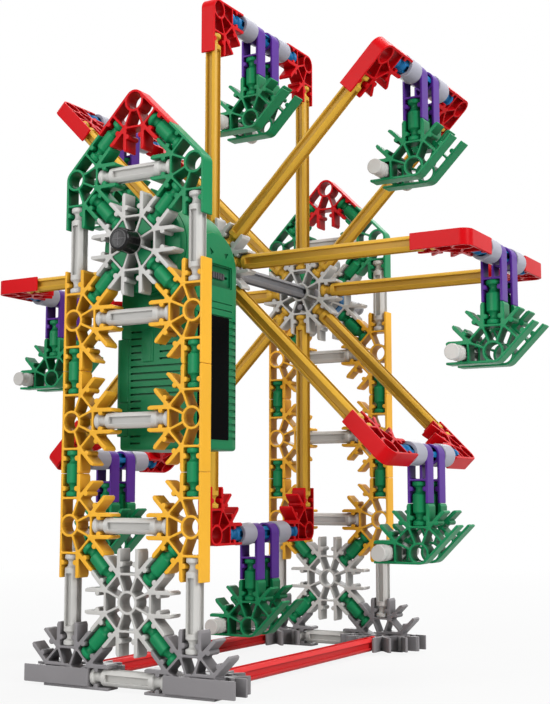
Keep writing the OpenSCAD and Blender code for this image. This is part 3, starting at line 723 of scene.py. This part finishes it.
# Axle
# One long grooved rod of dark grey plastic carries the wheel. It turns in the centre holes of the
# two axle connectors, with the hubs and the motor's collar on it.
WHEEL_R = 2 * math.sqrt(2) * PITCH
WHEEL_OFF = 12.4
NEAR_HUB = WHEEL_OFF - PITCH
FAR_HUB = WHEEL_OFF + PITCH
AXLE_LEN = 4 * math.sqrt(2) * PITCH - 2 * ROD_AT
CAP_LEN = 8
CAP_END = 1.3
AXLE_FROM = -(TOWER_Y + PLATE / 2) - 0.2 - CAP_LEN + CAP_END
axle_grey = plastic("axle_grey", (0.26, 0.26, 0.275))
axle_rod = rod_shape(AXLE_LEN)
axle_parts = [(axle_rod, spot_at(0, AXLE_FROM, AXLE_Z, along_y))]
put("axle", axle_parts, axle_grey, "wheel", "axle", shade_depth=0.45)

# Axle cap
# A black rubber cap is pushed over the near end of the axle, outside the tower. Its closed end has
# a round edge and a shallow dish, where a thin raised cross from its mould is coloured paler as a
# painted highlight.
CAP_R = 4.3
CAP_DOME = 1.2
CAP_DISH = 0.14
CROSS_HALF = 0.16
CROSS_REACH = 2.6


def lathe(profile, around=64):
    """A closed ring of revolution about Y from pairs of radius and Y, each with its own easing."""
    turns = [2 * math.pi * k / around for k in range(around)]
    loop = eased(profile)
    work = bmesh.new()
    rings = [[work.verts.new((r * math.cos(a), y, r * math.sin(a))) for a in turns]
             for r, y in loop]
    for k in range(len(loop)):
        k2 = (k + 1) % len(loop)
        if loop[k][0] == 0 and loop[k2][0] == 0:
            continue
        for j in range(around):
            j2 = (j + 1) % around
            work.faces.new((rings[k][j], rings[k][j2], rings[k2][j2], rings[k2][j]))
    return welded(work)


black_rubber = plastic("black_rubber", (0.006, 0.0055, 0.006), gloss=0.14, spread=0.2, bump=0.12,
                       shine=0.3)
# Painted highlight: the mould cross is a paler grey than the cap, standing for the light along its
# ridges.
highlight_rubber = plastic("highlight_rubber", (0.15, 0.145, 0.15), gloss=0.4)
cap_shape = lathe([(0, CAP_DISH, 0), (2.75, CAP_DISH, 0.05), (2.87, 0, 0.05)]
                  + arc(CAP_R - CAP_DOME, CAP_DOME, CAP_DOME, -90, 0, 8)
                  + [(CAP_R, CAP_LEN, 0.35), (BORE_R, CAP_LEN, 0.3), (BORE_R, CAP_END, 0.2),
                     (0, CAP_END, 0)])
cap_at = spot_at(0, AXLE_FROM - CAP_END, AXLE_Z)
put("axle_cap", [(cap_shape, cap_at)], black_rubber, "wheel", "axle_cap")
cross_loop = []
for quarter in range(4):
    cross_loop += turned([(CROSS_REACH, -CROSS_HALF, 0.1), (CROSS_REACH, CROSS_HALF, 0.1),
                          (CROSS_HALF, CROSS_HALF, 0.1)], 90 * quarter)
cross_shape = plate_shape([eased(cross_loop)], thick=0.3, edge=0.06)
cross_at = cap_at @ Matrix.Translation((0, CROSS_HALF, 0)) @ upright
put("axle_cap_cross", [(cross_shape, cross_at)], highlight_rubber, "wheel", "axle_cap")

# Axle spacer
# A short tube of blue plastic is pushed onto the axle outside the far tower. It keeps the axle
# from drifting toward the motor.
SPACER_R = BORE_R + 1.3
SPACER_LEN = 6.3
blue_plastic = plastic("blue_plastic", (0.012, 0.17, 0.42))
stop_tube = lathe([(BORE_R, 0, 0.2), (SPACER_R, 0, 0.25), (SPACER_R, SPACER_LEN, 0.25),
                   (BORE_R, SPACER_LEN, 0.2)])
stop_at = spot_at(0, TOWER_Y + PLATE / 2 + 0.1, AXLE_Z)
put("axle_spacer", [(stop_tube, stop_at)], blue_plastic, "wheel", "axle_spacer")

# Hubs
# Two white eight-way connectors, moulded like those of the towers, stand 75 mm apart on the axle.
# A spoke fills each of their sockets.
hub_parts = [(eight_way, spot_at(0, y, AXLE_Z, upright)) for y in (NEAR_HUB, FAR_HUB)]
put("hub_connectors", hub_parts, white_plastic, "wheel", "hub_connectors")

# Lock clip
# A grey clip grips the axle behind the far hub, and its pin stands in the hub's lowest window, so
# that hub and axle turn together. It is moulded in one piece with a snap gap at the top.
LOCK_AT = (RING_R + SEAT - WEB) / 2
LOCK_W = 4
LOCK_PIN = 1.3
LOCK_GAP = 1.02
pin_root = -math.sqrt(RING_R ** 2 - LOCK_PIN ** 2)
clip_loop = [(LOCK_PIN, pin_root, 0.5)]
clip_loop += arc(0, 0, RING_R, -65, 76, 22)
clip_loop += [(LOCK_GAP, 3.95, 0.2), (LOCK_GAP, 3.08, 0.15)]
clip_loop += arc(0, 0, BORE_R, 69, -249, 44)
clip_loop += [(-LOCK_GAP, 3.08, 0.15), (-LOCK_GAP, 3.95, 0.2)]
clip_loop += arc(0, 0, RING_R, 104, 245, 22)
clip_loop += [(-LOCK_PIN, pin_root, 0.5)]
clip_loop += arc(0, -LOCK_AT, LOCK_PIN, 180, 360, 12)
clip_shape = plate_shape([eased(clip_loop)], thick=LOCK_W)
pin = lathe([(0, 0, 0), (LOCK_PIN, 0, 0.3), (LOCK_PIN, PLATE + LOCK_W / 2, 0.1),
             (0, PLATE + LOCK_W / 2, 0)], around=32)
lock_y = FAR_HUB + PLATE / 2 + 0.1
lock_parts = [(clip_shape, spot_at(0, lock_y + LOCK_W / 2, AXLE_Z, upright)),
              (pin, spot_at(0, lock_y - PLATE - 0.05, AXLE_Z - LOCK_AT))]
put("hub_lock_clip", lock_parts, grey_plastic, "wheel", "hub_lock_clip")

# Spokes
# Sixteen grooved rods of deep yellow plastic, eight to a hub, reach out to the rim. Their ends snap
# into the sockets of the hub and of the rim connectors.
ARMS = 8
gold_plastic = plastic("gold_plastic", (0.72, 0.41, 0.045))
spoke_rod = rod_shape(WHEEL_R - 2 * ROD_AT)


def arm(k, y):
    """The wheel turned to its k-th arm, at one place along the axle."""
    return spot_at(0, y, AXLE_Z, Matrix.Rotation(-2 * math.pi * k / ARMS, 4, "Y"))


spoke_parts = [(spoke_rod, arm(k, y) @ Matrix.Translation((ROD_AT, 0, 0)))
               for y in (NEAR_HUB, FAR_HUB) for k in range(ARMS)]
put("spokes", spoke_parts, gold_plastic, "wheel", "spokes", shade_depth=0.35)

# Rim connectors
# A three-way connector moulded in red plastic sits flat across the end of each spoke. One socket
# takes the spoke and the one at right angles takes the crossbar.
three_way = plate_shape(connector_loops(90, 3))
rim_parts = []
for side in (Matrix.Identity(4), mirror_y):
    for k in range(ARMS):
        turned_arm = Matrix.Rotation(-2 * math.pi * k / ARMS, 4, "Y")
        place = side @ turned_arm @ Matrix.Translation((WHEEL_R, -PITCH, 0))
        rim_parts.append((three_way, spot_at(0, WHEEL_OFF, AXLE_Z, place)))
put("rim_connectors", rim_parts, red_plastic, "wheel", "rim_connectors")

# Rim crossbars
# Eight grooved rods of blue plastic join the two rims. Their ends snap into the rim connectors, and
# a gondola swings on each.
crossbar_rod = rod_shape(2 * PITCH - 2 * ROD_AT)
bar_places = [arm(k, WHEEL_OFF) @ Matrix.Translation((WHEEL_R, ROD_AT - PITCH, 0)) @ along_y
              for k in range(ARMS)]
crossbar_parts = [(crossbar_rod, place) for place in bar_places]
put("rim_crossbars", crossbar_parts, blue_plastic, "wheel", "rim_crossbars",
    shade_depth=0.3)

# Spacer tubes
# Silver-grey plastic tubes are slid onto each crossbar, one either side of the gondola, and keep it
# in the middle.
CLIP_GAP = 5.5
CLIP_Y = (CLIP_GAP + PLATE) / 2
SPACER_FROM = CLIP_Y + PLATE / 2 + 0.15
SPACER_TO = PITCH - TIP - 0.15
TUBE_R = BORE_R + 1.4
silver_plastic = plastic("silver_plastic", (0.42, 0.42, 0.49))
tube = lathe([(BORE_R, SPACER_FROM, 0.25), (TUBE_R, SPACER_FROM, 0.3), (TUBE_R, SPACER_TO, 0.3),
              (BORE_R, SPACER_TO, 0.25)], around=48)
tube_parts = [(tube, arm(k, WHEEL_OFF) @ Matrix.Translation((WHEEL_R, 0, 0)) @ side)
              for k in range(ARMS) for side in (Matrix.Identity(4), mirror_y)]
put("rim_spacers", tube_parts, silver_plastic, "wheel", "rim_spacers")

# Gondolas
# Each of the eight hangs from two purple plastic clips whose eyes turn on the crossbar. Green drop
# rods lead down to green four-way connectors, and a white bar pressed sideways into their sockets
# ties the sides together.
purple_plastic = plastic("purple_plastic", (0.108, 0.028, 0.31))
hanger = plate_shape(connector_loops(270, 1))
side_plate = plate_shape(connector_loops(45, 4))
BAR_AT = ROD_AT + ROD_R
for k in range(ARMS):
    rider = "gondola_" + str(k + 1)
    turn_to = 2 * math.pi * k / ARMS
    hang_x, hang_z = WHEEL_R * math.cos(turn_to), AXLE_Z + WHEEL_R * math.sin(turn_to)
    clip_spots = [spot_at(hang_x, WHEEL_OFF + side * CLIP_Y, hang_z) for side in sides]
    hanger_parts = [(hanger, clip @ upright) for clip in clip_spots]
    put(rider + "_clips", hanger_parts, purple_plastic, rider, rider + "_hangers")
    drop = Matrix.Translation((0, 0, -ROD_AT)) @ Matrix.Rotation(math.radians(90), 4, "Y")
    drop_parts = [(short_rod, clip @ drop) for clip in clip_spots]
    drop_parts += [(side_plate, clip @ Matrix.Translation((0, 0, -PITCH)) @ upright)
                   for clip in clip_spots]
    put(rider + "_frame", drop_parts, green_plastic, rider, rider + "_sides")
    bar_spot = spot_at(hang_x - BAR_AT, WHEEL_OFF - DIAG + ROD_AT, hang_z - PITCH, along_y)
    put(rider + "_white_bar", [(grooved_rod, bar_spot)], white_plastic, rider, rider + "_bar",
        shade_depth=0.22)

# Gear housing
# A round can of deep green plastic between the near tower and the motor case. Four pegs on its
# closed end fill windows of the axle connector, so the motor doesn't turn with the wheel.
SHELL = 1.6
DRUM_R = 17.4
SEAM_AT = 3.1
SEAM_W = 0.7
SEAM_DEEP = 0.3
DRUM_FROM = PLATE / 2 - TOWER_Y
DRUM_LEN = 30.1
DRUM_TO = DRUM_FROM + DRUM_LEN
motor_green = plastic("motor_green_plastic", (0.01, 0.203, 0.077), gloss=0.3, bump=0.08)
drum_inner, seam_r = DRUM_R - SHELL, DRUM_R - SEAM_DEEP
seam_from, seam_to = DRUM_FROM + SEAM_AT, DRUM_FROM + SEAM_AT + SEAM_W
drum_shape = lathe([(BORE_R, DRUM_FROM, 0.2), (DRUM_R, DRUM_FROM, 0.9), (DRUM_R, seam_from, 0.1),
                    (seam_r, seam_from + SEAM_DEEP / 2, 0.1),
                    (seam_r, seam_to - SEAM_DEEP / 2, 0.1), (DRUM_R, seam_to, 0.1),
                    (DRUM_R, DRUM_TO, 0.6), (drum_inner, DRUM_TO, 0.2),
                    (drum_inner, DRUM_FROM + SHELL, 0.2), (BORE_R, DRUM_FROM + SHELL, 0.2)],
                   around=96)
PEG_LEN = PLATE - 0.3
PEG_PLAY = 0.2
peg_in, peg_out = RING_R + PEG_PLAY, SEAT - WEB - PEG_PLAY
peg_slope = math.tan(math.radians(HALF_STEP))
peg_slim = WEB / 2 / math.cos(math.radians(HALF_STEP)) + PEG_PLAY
peg_loop = [(peg_in, peg_slim - peg_in * peg_slope, 0.3),
            (peg_out, peg_slim - peg_out * peg_slope, 0.4),
            (peg_out, peg_out * peg_slope - peg_slim, 0.4),
            (peg_in, peg_in * peg_slope - peg_slim, 0.3)]
peg = plate_shape([eased(peg_loop)], thick=PEG_LEN)
housing_parts = [(drum_shape, spot_at(0, 0, AXLE_Z))]
housing_parts += [(peg, spot_at(0, DRUM_FROM - PEG_LEN / 2 + 0.01, AXLE_Z,
                                Matrix.Rotation(-math.radians(a), 4, "Y") @ upright))
                  for a in (45, 135, 225, 315)]
put("gear_housing", housing_parts, motor_green, "frame", "gear_housing")

# Motor case
# The battery motor's front shell is moulded in deep green plastic, with a round top and grip
# grooves on its front. Its right side has a ribbed strip and a sunk window for the switch, under
# two marks. The gear housing carries it on the tower.
CASE_LEFT, CASE_RIGHT = -15.8, 18
CASE_FROM = DRUM_FROM + 8.9
CASE_TO = CASE_FROM + 28
CASE_MID = (CASE_FROM + CASE_TO) / 2
BACK_FROM = CASE_TO - 3.6
CASE_Z = AXLE_Z - 74.25
ARCH_R = 14
ARCH_Z = AXLE_Z - 6.75
COVER_LEFT = -18
COVER_Z = CASE_Z + 5.2
COVER_H = 36.3
COVER_WRAP = 6
COVER_PLAY = 0.1
SWITCH_Y = CASE_TO - 12.8
SWITCH_Z = AXLE_Z - 9.05
SWITCH_W, SWITCH_H = 17, 7.4
SWITCH_RIM = 0.6
SLOT_HALF = 0.5
RIB_STEP = 2.58
RIB_DEEP = 0.5
RIB_HALF = 0.5
STRIP_RIBS = 18
STRIP_W = 5.3
STRIP_LOW = 4.6
GRIP_DEEP = 1.1
GRIP_HALF = 0.35
GRIP_LOW = 20.6
PANEL_LOW, PANEL_HIGH = 32.5, 44.5
PANEL_STEPS = ((-5.6, -0.7, 0.7), (-4.7, -1.5, 1.1))
BESIDE_PANEL = (2, 10)
LINE_W = 0.4
LINES_BELOW = (19, 21.5, 24)
MARK_UP = 8.6
MARK_OUT = 5.2
MARK_TIP = 1.6
MARK_HALF = 1.2
PAST = 40
sideways = Matrix(((0, 0, 1, 0), (1, 0, 0, 0), (0, 1, 0, 0), (0, 0, 0, 1)))


def slab(x, x_to, y, y_to, z, z_to):
    """A plain box, used as a cutter."""
    points = [(a, b, c) for a in (x, x_to) for b in (y, y_to) for c in (z, z_to)]
    faces = [[0, 1, 3, 2], [4, 6, 7, 5], [0, 4, 5, 1], [2, 3, 7, 6], [0, 2, 6, 4], [1, 5, 7, 3]]
    return np.array(points, float), faces


def carved(block, cutters):
    """A shape with a list of others cut out of it."""
    carriers = []
    for kind, parts in (("block", [block]), ("cutter", cutters)):
        mesh = bpy.data.meshes.new(kind)
        points = np.concatenate([p for p, f in parts])
        faces, base = [], 0
        for p, f in parts:
            faces += [[base + k for k in face] for face in f]
            base += len(p)
        mesh.from_pydata(points.tolist(), [], faces)
        carrier = bpy.data.objects.new(kind, mesh)
        scene.collection.objects.link(carrier)
        carriers.append(carrier)
    cut = carriers[0].modifiers.new("cut", "BOOLEAN")
    cut.object = carriers[1]
    cut.operation = "DIFFERENCE"
    cut.solver = "EXACT"
    cut.use_self = True
    result = bpy.data.meshes.new_from_object(
        carriers[0].evaluated_get(bpy.context.evaluated_depsgraph_get()))
    work = bmesh.new()
    work.from_mesh(result)
    bpy.data.meshes.remove(result)
    for carrier in carriers:
        mesh = carrier.data
        bpy.data.objects.remove(carrier)
        bpy.data.meshes.remove(mesh)
    return welded(work)


def moved(shape, matrix):
    grid = np.array(matrix)
    return shape[0] @ grid[:3, :3].T + grid[:3, 3], shape[1]


def case_block(inset, edge):
    """The whole motor case as one rounded block, or the hollow inside it."""
    corner = max(1.6 - inset, 0.2)
    profile = [(CASE_FROM + inset, CASE_Z + inset, corner),
               (CASE_TO - inset, CASE_Z + inset, corner)]
    profile += arc(CASE_MID, ARCH_Z, ARCH_R - inset, 0, 180, 36)
    wide = CASE_RIGHT - CASE_LEFT - 2 * inset
    block = plate_shape([eased(profile)], thick=wide, edge=edge)
    return moved(block, Matrix.Translation(((CASE_LEFT + CASE_RIGHT) / 2, 0, 0)) @ sideways)


def rectangle(x, x_to, y, y_to, ease):
    return eased([(x, y, ease), (x_to, y, ease), (x_to, y_to, ease), (x, y_to, ease)])


def disc(radius, y, y_to):
    return moved(lathe([(0, y, 0), (radius, y, 0), (radius, y_to, 0), (0, y_to, 0)], around=96),
                 Matrix.Translation((0, 0, AXLE_Z)))


outer_block = case_block(0, 0.9)
inner_block = case_block(SHELL, 0.1)
cover_opening = [
    slab(COVER_LEFT - 1, CASE_LEFT + SHELL + 0.3, CASE_FROM + SHELL, CASE_TO - SHELL,
         COVER_Z - COVER_PLAY, COVER_Z + COVER_H + COVER_PLAY),
    slab(COVER_LEFT - 1, COVER_LEFT + COVER_WRAP + COVER_PLAY, CASE_FROM - 1,
         CASE_FROM + SHELL + COVER_PLAY, COVER_Z - COVER_PLAY, COVER_Z + COVER_H + COVER_PLAY)]
strip_ribs = [slab(CASE_RIGHT - RIB_DEEP, CASE_RIGHT + 1, CASE_TO - STRIP_W, CASE_TO - 0.4,
                   CASE_Z + STRIP_LOW + k * RIB_STEP - RIB_HALF,
                   CASE_Z + STRIP_LOW + k * RIB_STEP + RIB_HALF)
              for k in range(STRIP_RIBS)]
front_cuts = [slab(-PAST, PAST, BACK_FROM, CASE_TO + 2, CASE_Z - 2, ARCH_Z + ARCH_R + 2),
              disc(DRUM_R + 0.05, DRUM_FROM - 1, DRUM_TO + 0.05), inner_block]
front_cuts += cover_opening + strip_ribs
# The middle five grooves run on to the right edge. The others are short, and four of them go on
# beyond the raised panel.
for k in (-7, -6, *range(-2, 10)):
    middle = CASE_Z + GRIP_LOW + k * RIB_STEP
    low, high = middle - GRIP_HALF, middle + GRIP_HALF
    grip_to = CASE_RIGHT + 1 if 0 <= k <= 4 else -2 * ROD_R
    front_cuts.append(slab(COVER_LEFT + COVER_WRAP + 1, grip_to, CASE_FROM - 1,
                           CASE_FROM + GRIP_DEEP, low, high))
    if 4 < k < 9:
        front_cuts.append(slab(*BESIDE_PANEL, CASE_FROM - 1, CASE_FROM + GRIP_DEEP, low, high))
half_w, half_h = SWITCH_W / 2, SWITCH_H / 2
switch_at = Matrix.Translation((CASE_RIGHT, SWITCH_Y, SWITCH_Z)) @ sideways
window_cut = plate_shape([rectangle(-half_w, half_w, -half_h, half_h, 0.5)], thick=2, edge=0.05)
rim_w, rim_h = half_w + SWITCH_RIM, half_h + SWITCH_RIM
frame_cut = plate_shape([rectangle(-rim_w, rim_w, -rim_h, rim_h, 0.6)], thick=0.8, edge=0.05)
front_cuts += [moved(window_cut, switch_at), moved(frame_cut, switch_at)]
front_cuts.append(slab(CASE_RIGHT - SHELL - 1, CASE_RIGHT - 0.5, SWITCH_Y - half_w + 1,
                       SWITCH_Y + half_w - 1, SWITCH_Z - SLOT_HALF, SWITCH_Z + SLOT_HALF))
for drop in LINES_BELOW:
    front_cuts.append(slab(CASE_RIGHT - RIB_DEEP, CASE_RIGHT + 1, CASE_FROM - 1, CASE_TO,
                           AXLE_Z - drop - LINE_W, AXLE_Z - drop))
for mark_y, lean in ((SWITCH_Y - MARK_OUT, 35), (SWITCH_Y + MARK_OUT, -60)):
    mark_loop = turned([(0, MARK_TIP, 0.1), (-MARK_HALF, -MARK_HALF, 0.1),
                        (MARK_HALF, -MARK_HALF, 0.1)], lean)
    mark = plate_shape([eased(mark_loop)], thick=0.9, edge=0.05)
    mark_at = Matrix.Translation((CASE_RIGHT, mark_y, SWITCH_Z + MARK_UP)) @ sideways
    front_cuts.append(moved(mark, mark_at))
front_shell = carved(outer_block, front_cuts)
case_parts = [(front_shell, spot_at(0, 0, 0))]
for panel_left, panel_right, proud in PANEL_STEPS:
    panel_loop = rectangle(panel_left, panel_right, CASE_Z + PANEL_LOW, CASE_Z + PANEL_HIGH, 0.4)
    panel = plate_shape([panel_loop], thick=proud, edge=0.18)
    case_parts.append((panel, spot_at(0, CASE_FROM, 0, upright)))
put("motor_case", case_parts, motor_green, "frame", "motor_case")

# Motor back cover
# The back half of the motor, in the same green plastic, closes the case on the wheel's side. Three
# sunk screws hold it, and the drive collar comes out through the round hole at its top.
DRIVE_R = 7.8
SCREW_IN = 1.6
SCREW_HIGH = 57
SCREW_LOW = 6
SCREW_MID = 0.6
SCREW_R = 1.2
SCREW_HEAD_R = 2
back_cuts = [slab(-PAST, PAST, CASE_FROM - 2, BACK_FROM, CASE_Z - 2, ARCH_Z + ARCH_R + 2),
             disc(DRIVE_R + 0.3, BACK_FROM - 1, CASE_TO + 1), inner_block]
back_cuts += cover_opening + strip_ribs
screw_hole = lathe([(0, CASE_TO - 5, 0), (SCREW_R, CASE_TO - 5, 0), (SCREW_R, CASE_TO - 1, 0),
                    (SCREW_HEAD_R, CASE_TO - 1, 0), (SCREW_HEAD_R, CASE_TO + 1, 0),
                    (0, CASE_TO + 1, 0)])
for x, z in ((CASE_LEFT + SHELL + SCREW_IN, SCREW_HIGH),
             (CASE_RIGHT - SHELL - SCREW_IN, SCREW_HIGH), (SCREW_MID, SCREW_LOW)):
    back_cuts.append(moved(screw_hole, Matrix.Translation((x, 0, CASE_Z + z))))
back_shell = carved(outer_block, back_cuts)
put("motor_back_cover", [(back_shell, spot_at(0, 0, 0))], motor_green, "frame", "motor_back_cover")

# Battery cover
# A separate green moulding snaps over the opening on the left side and wraps round onto the front
# with a rounded corner. Two grip grooves cross the wrap beside those of the case.
WRAP_LOW = 20.3
WRAP_HALF = 0.4
cover_plan = [(COVER_LEFT, CASE_TO, 0.8), (COVER_LEFT, CASE_FROM, 2.4),
              (COVER_LEFT + COVER_WRAP, CASE_FROM, 0.35),
              (COVER_LEFT + COVER_WRAP, CASE_FROM + SHELL, 0.35),
              (CASE_LEFT, CASE_FROM + SHELL, 0.3), (CASE_LEFT, CASE_TO, 0.35)]
cover_block = moved(plate_shape([eased(cover_plan)], thick=COVER_H, edge=0.25),
                    Matrix.Translation((0, 0, COVER_Z + COVER_H / 2)))
cover_grooves = [slab(COVER_LEFT - 1, COVER_LEFT + COVER_WRAP + 1, CASE_FROM - 1,
                      CASE_FROM + RIB_DEEP, CASE_Z + WRAP_LOW + k * RIB_STEP - WRAP_HALF,
                      CASE_Z + WRAP_LOW + k * RIB_STEP + WRAP_HALF)
                 for k in (-4, -1)]
cover_shape = carved(cover_block, cover_grooves)
put("battery_cover", [(cover_shape, spot_at(0, 0, 0))], motor_green, "frame", "battery_cover")

# Switch slider
# A slider of slate grey plastic stands in the switch window and clicks 4 mm to either side. Four
# fine grooves across it give the fingertip its grip.
SLIDER_W, SLIDER_H = 8, 2.4
NOTCH_STEP = 1.6
NOTCH_HALF = 0.25
STEM_HALF = 1.5
slider_loop = rectangle(-SLIDER_W / 2, SLIDER_W / 2, -SLIDER_H / 2, SLIDER_H / 2, 0.3)
slider_at = Matrix.Translation((CASE_RIGHT - 0.5, SWITCH_Y, SWITCH_Z)) @ sideways
notches = [slab(CASE_RIGHT - 0.35, CASE_RIGHT + 1, SWITCH_Y + k * NOTCH_STEP - NOTCH_HALF,
                SWITCH_Y + k * NOTCH_STEP + NOTCH_HALF, SWITCH_Z - 2, SWITCH_Z + 2)
           for k in (-1.5, -0.5, 0.5, 1.5)]
slider_plate = carved(moved(plate_shape([slider_loop], thick=0.8, edge=0.1), slider_at), notches)
stem = slab(CASE_RIGHT - SHELL + 0.05, CASE_RIGHT - 0.8, SWITCH_Y - STEM_HALF, SWITCH_Y + STEM_HALF,
            SWITCH_Z - 0.4, SWITCH_Z + 0.4)
slider_parts = [(shape, spot_at(0, 0, 0)) for shape in (slider_plate, stem)]
slate_plastic = plastic("slate_plastic", (0.085, 0.083, 0.09), gloss=0.35)
put("switch_slider", slider_parts, slate_plastic, "switch", "switch_slider")

# Side label
# A bare black vinyl film with small rounded corners is stuck to the right side of the case, below
# the switch and beside the ribbed strip.
LABEL_FRONT, LABEL_BACK = 1.2, 5.8
LABEL_LOW, LABEL_HIGH = 3.9, 49.8
black_film = plastic("black_label_film", (0.003, 0.003, 0.0035), gloss=0.4, bump=0.02, shine=0.01)
label_loop = rectangle(CASE_FROM + LABEL_FRONT, CASE_TO - LABEL_BACK, CASE_Z + LABEL_LOW,
                       CASE_Z + LABEL_HIGH, 0.5)
label = moved(plate_shape([label_loop], thick=0.2, edge=0.04),
              Matrix.Translation((CASE_RIGHT + 0.1, 0, 0)) @ sideways)
put("side_label", [(label, spot_at(0, 0, 0))], black_film, "frame", "side_label")

# Drive collar
# The motor's output gear, its tube and the round collar that reaches the near hub are one green
# moulding, slid over the axle.
OUT_R = 8.1
GEAR_W = 3.5
GEAR_ROOM = 1.6
TEETH = 36
DRIVE_TUBE_R = 5
tube_from = DRUM_FROM + SHELL + 0.1
gear_from = DRUM_TO - SHELL - GEAR_ROOM - GEAR_W
drive_to = NEAR_HUB - PLATE / 2 - 0.1


def gear_loop(tip, teeth, bore):
    """The outline of a small spur gear and its centre hole."""
    root = tip - 0.6
    loop = []
    for k in range(teeth):
        for share, radius in ((0.1, root), (0.3, tip), (0.6, tip), (0.8, root)):
            a = 2 * math.pi * (k + share) / teeth
            loop.append((radius * math.cos(a), radius * math.sin(a)))
    return [loop, [p[:2] for p in arc(0, 0, bore, 0, 352.5, 47)]]


tube_shape = lathe([(BORE_R, tube_from, 0.15), (DRIVE_TUBE_R, tube_from, 0.2),
                    (DRIVE_TUBE_R, DRUM_TO + 0.2, 0.05), (DRIVE_R, DRUM_TO + 0.2, 0.4),
                    (DRIVE_R, drive_to, 0.5), (BORE_R, drive_to, 0.3)], around=96)
gear_shape = plate_shape(gear_loop(OUT_R, TEETH, DRIVE_TUBE_R - 0.1), thick=GEAR_W, edge=0.08)
drive_parts = [(tube_shape, spot_at(0, 0, AXLE_Z)),
               (gear_shape, spot_at(0, gear_from + GEAR_W / 2, AXLE_Z, upright))]
put("drive_collar", drive_parts, motor_green, "wheel", "output_drive")

# Works inside the motor
# The steel cells, contacts, motor can and screws, the brass pinion, the white plastic gear and the
# housing's green lid keep their plain shapes. All but the lid and the screw heads are hidden.


def brushed_group():
    """Roughness of a bright metal with fine brushing along it."""
    group, nodes, links, ins, outs = new_group(
        "brushed_metal", {"Gloss": "Float", "Spread": "Float"}, {"Roughness": "Float"})
    place = add_node(nodes, "ShaderNodeTexCoord")
    stretch = add_node(nodes, "ShaderNodeMapping", {"Scale": (1, 1, 0.06)})
    brush = add_node(nodes, "ShaderNodeTexNoise", {"Scale": 1800, "Detail": 2})
    rough = add_node(nodes, "ShaderNodeMath", operation="MULTIPLY_ADD")
    links.new(place.outputs["Object"], stretch.inputs["Vector"])
    links.new(stretch.outputs["Vector"], brush.inputs["Vector"])
    links.new(brush.outputs["Fac"], rough.inputs[0])
    links.new(ins.outputs["Spread"], rough.inputs[1])
    links.new(ins.outputs["Gloss"], rough.inputs[2])
    links.new(rough.outputs[0], outs.inputs["Roughness"])
    return group


brushed = brushed_group()


def metal(name, color, gloss):
    material, nodes, links = new_material(name)
    surface_out = add_node(nodes, "ShaderNodeOutputMaterial")
    shader = add_node(nodes, "ShaderNodeBsdfPrincipled",
                      {"Base Color": (*color, 1), "Metallic": 1.0})
    finish = add_node(nodes, "ShaderNodeGroup", {"Gloss": gloss, "Spread": 0.2}, group=brushed)
    links.new(finish.outputs["Roughness"], shader.inputs["Roughness"])
    links.new(shader.outputs[0], surface_out.inputs["Surface"])
    return material


bright_steel = metal("bright_steel", (0.62, 0.62, 0.63), 0.22)
cell_steel = metal("cell_can", (0.50, 0.51, 0.53), 0.3)
brass = metal("brass", (0.62, 0.43, 0.13), 0.25)
for node, material, slot in (("battery_cells", cell_steel, "cell_steel"),
                             ("battery_contacts", bright_steel, "contact_steel"),
                             ("case_screws", bright_steel, "contact_steel"),
                             ("motor_can", bright_steel, "contact_steel"),
                             ("motor_pinion", brass, "brass"),
                             ("reduction_gear", white_plastic, "white_plastic"),
                             ("gear_housing_lid", motor_green, "motor_green_plastic")):
    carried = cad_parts[node]
    carried.data.materials.clear()
    carried.data.materials.append(material)
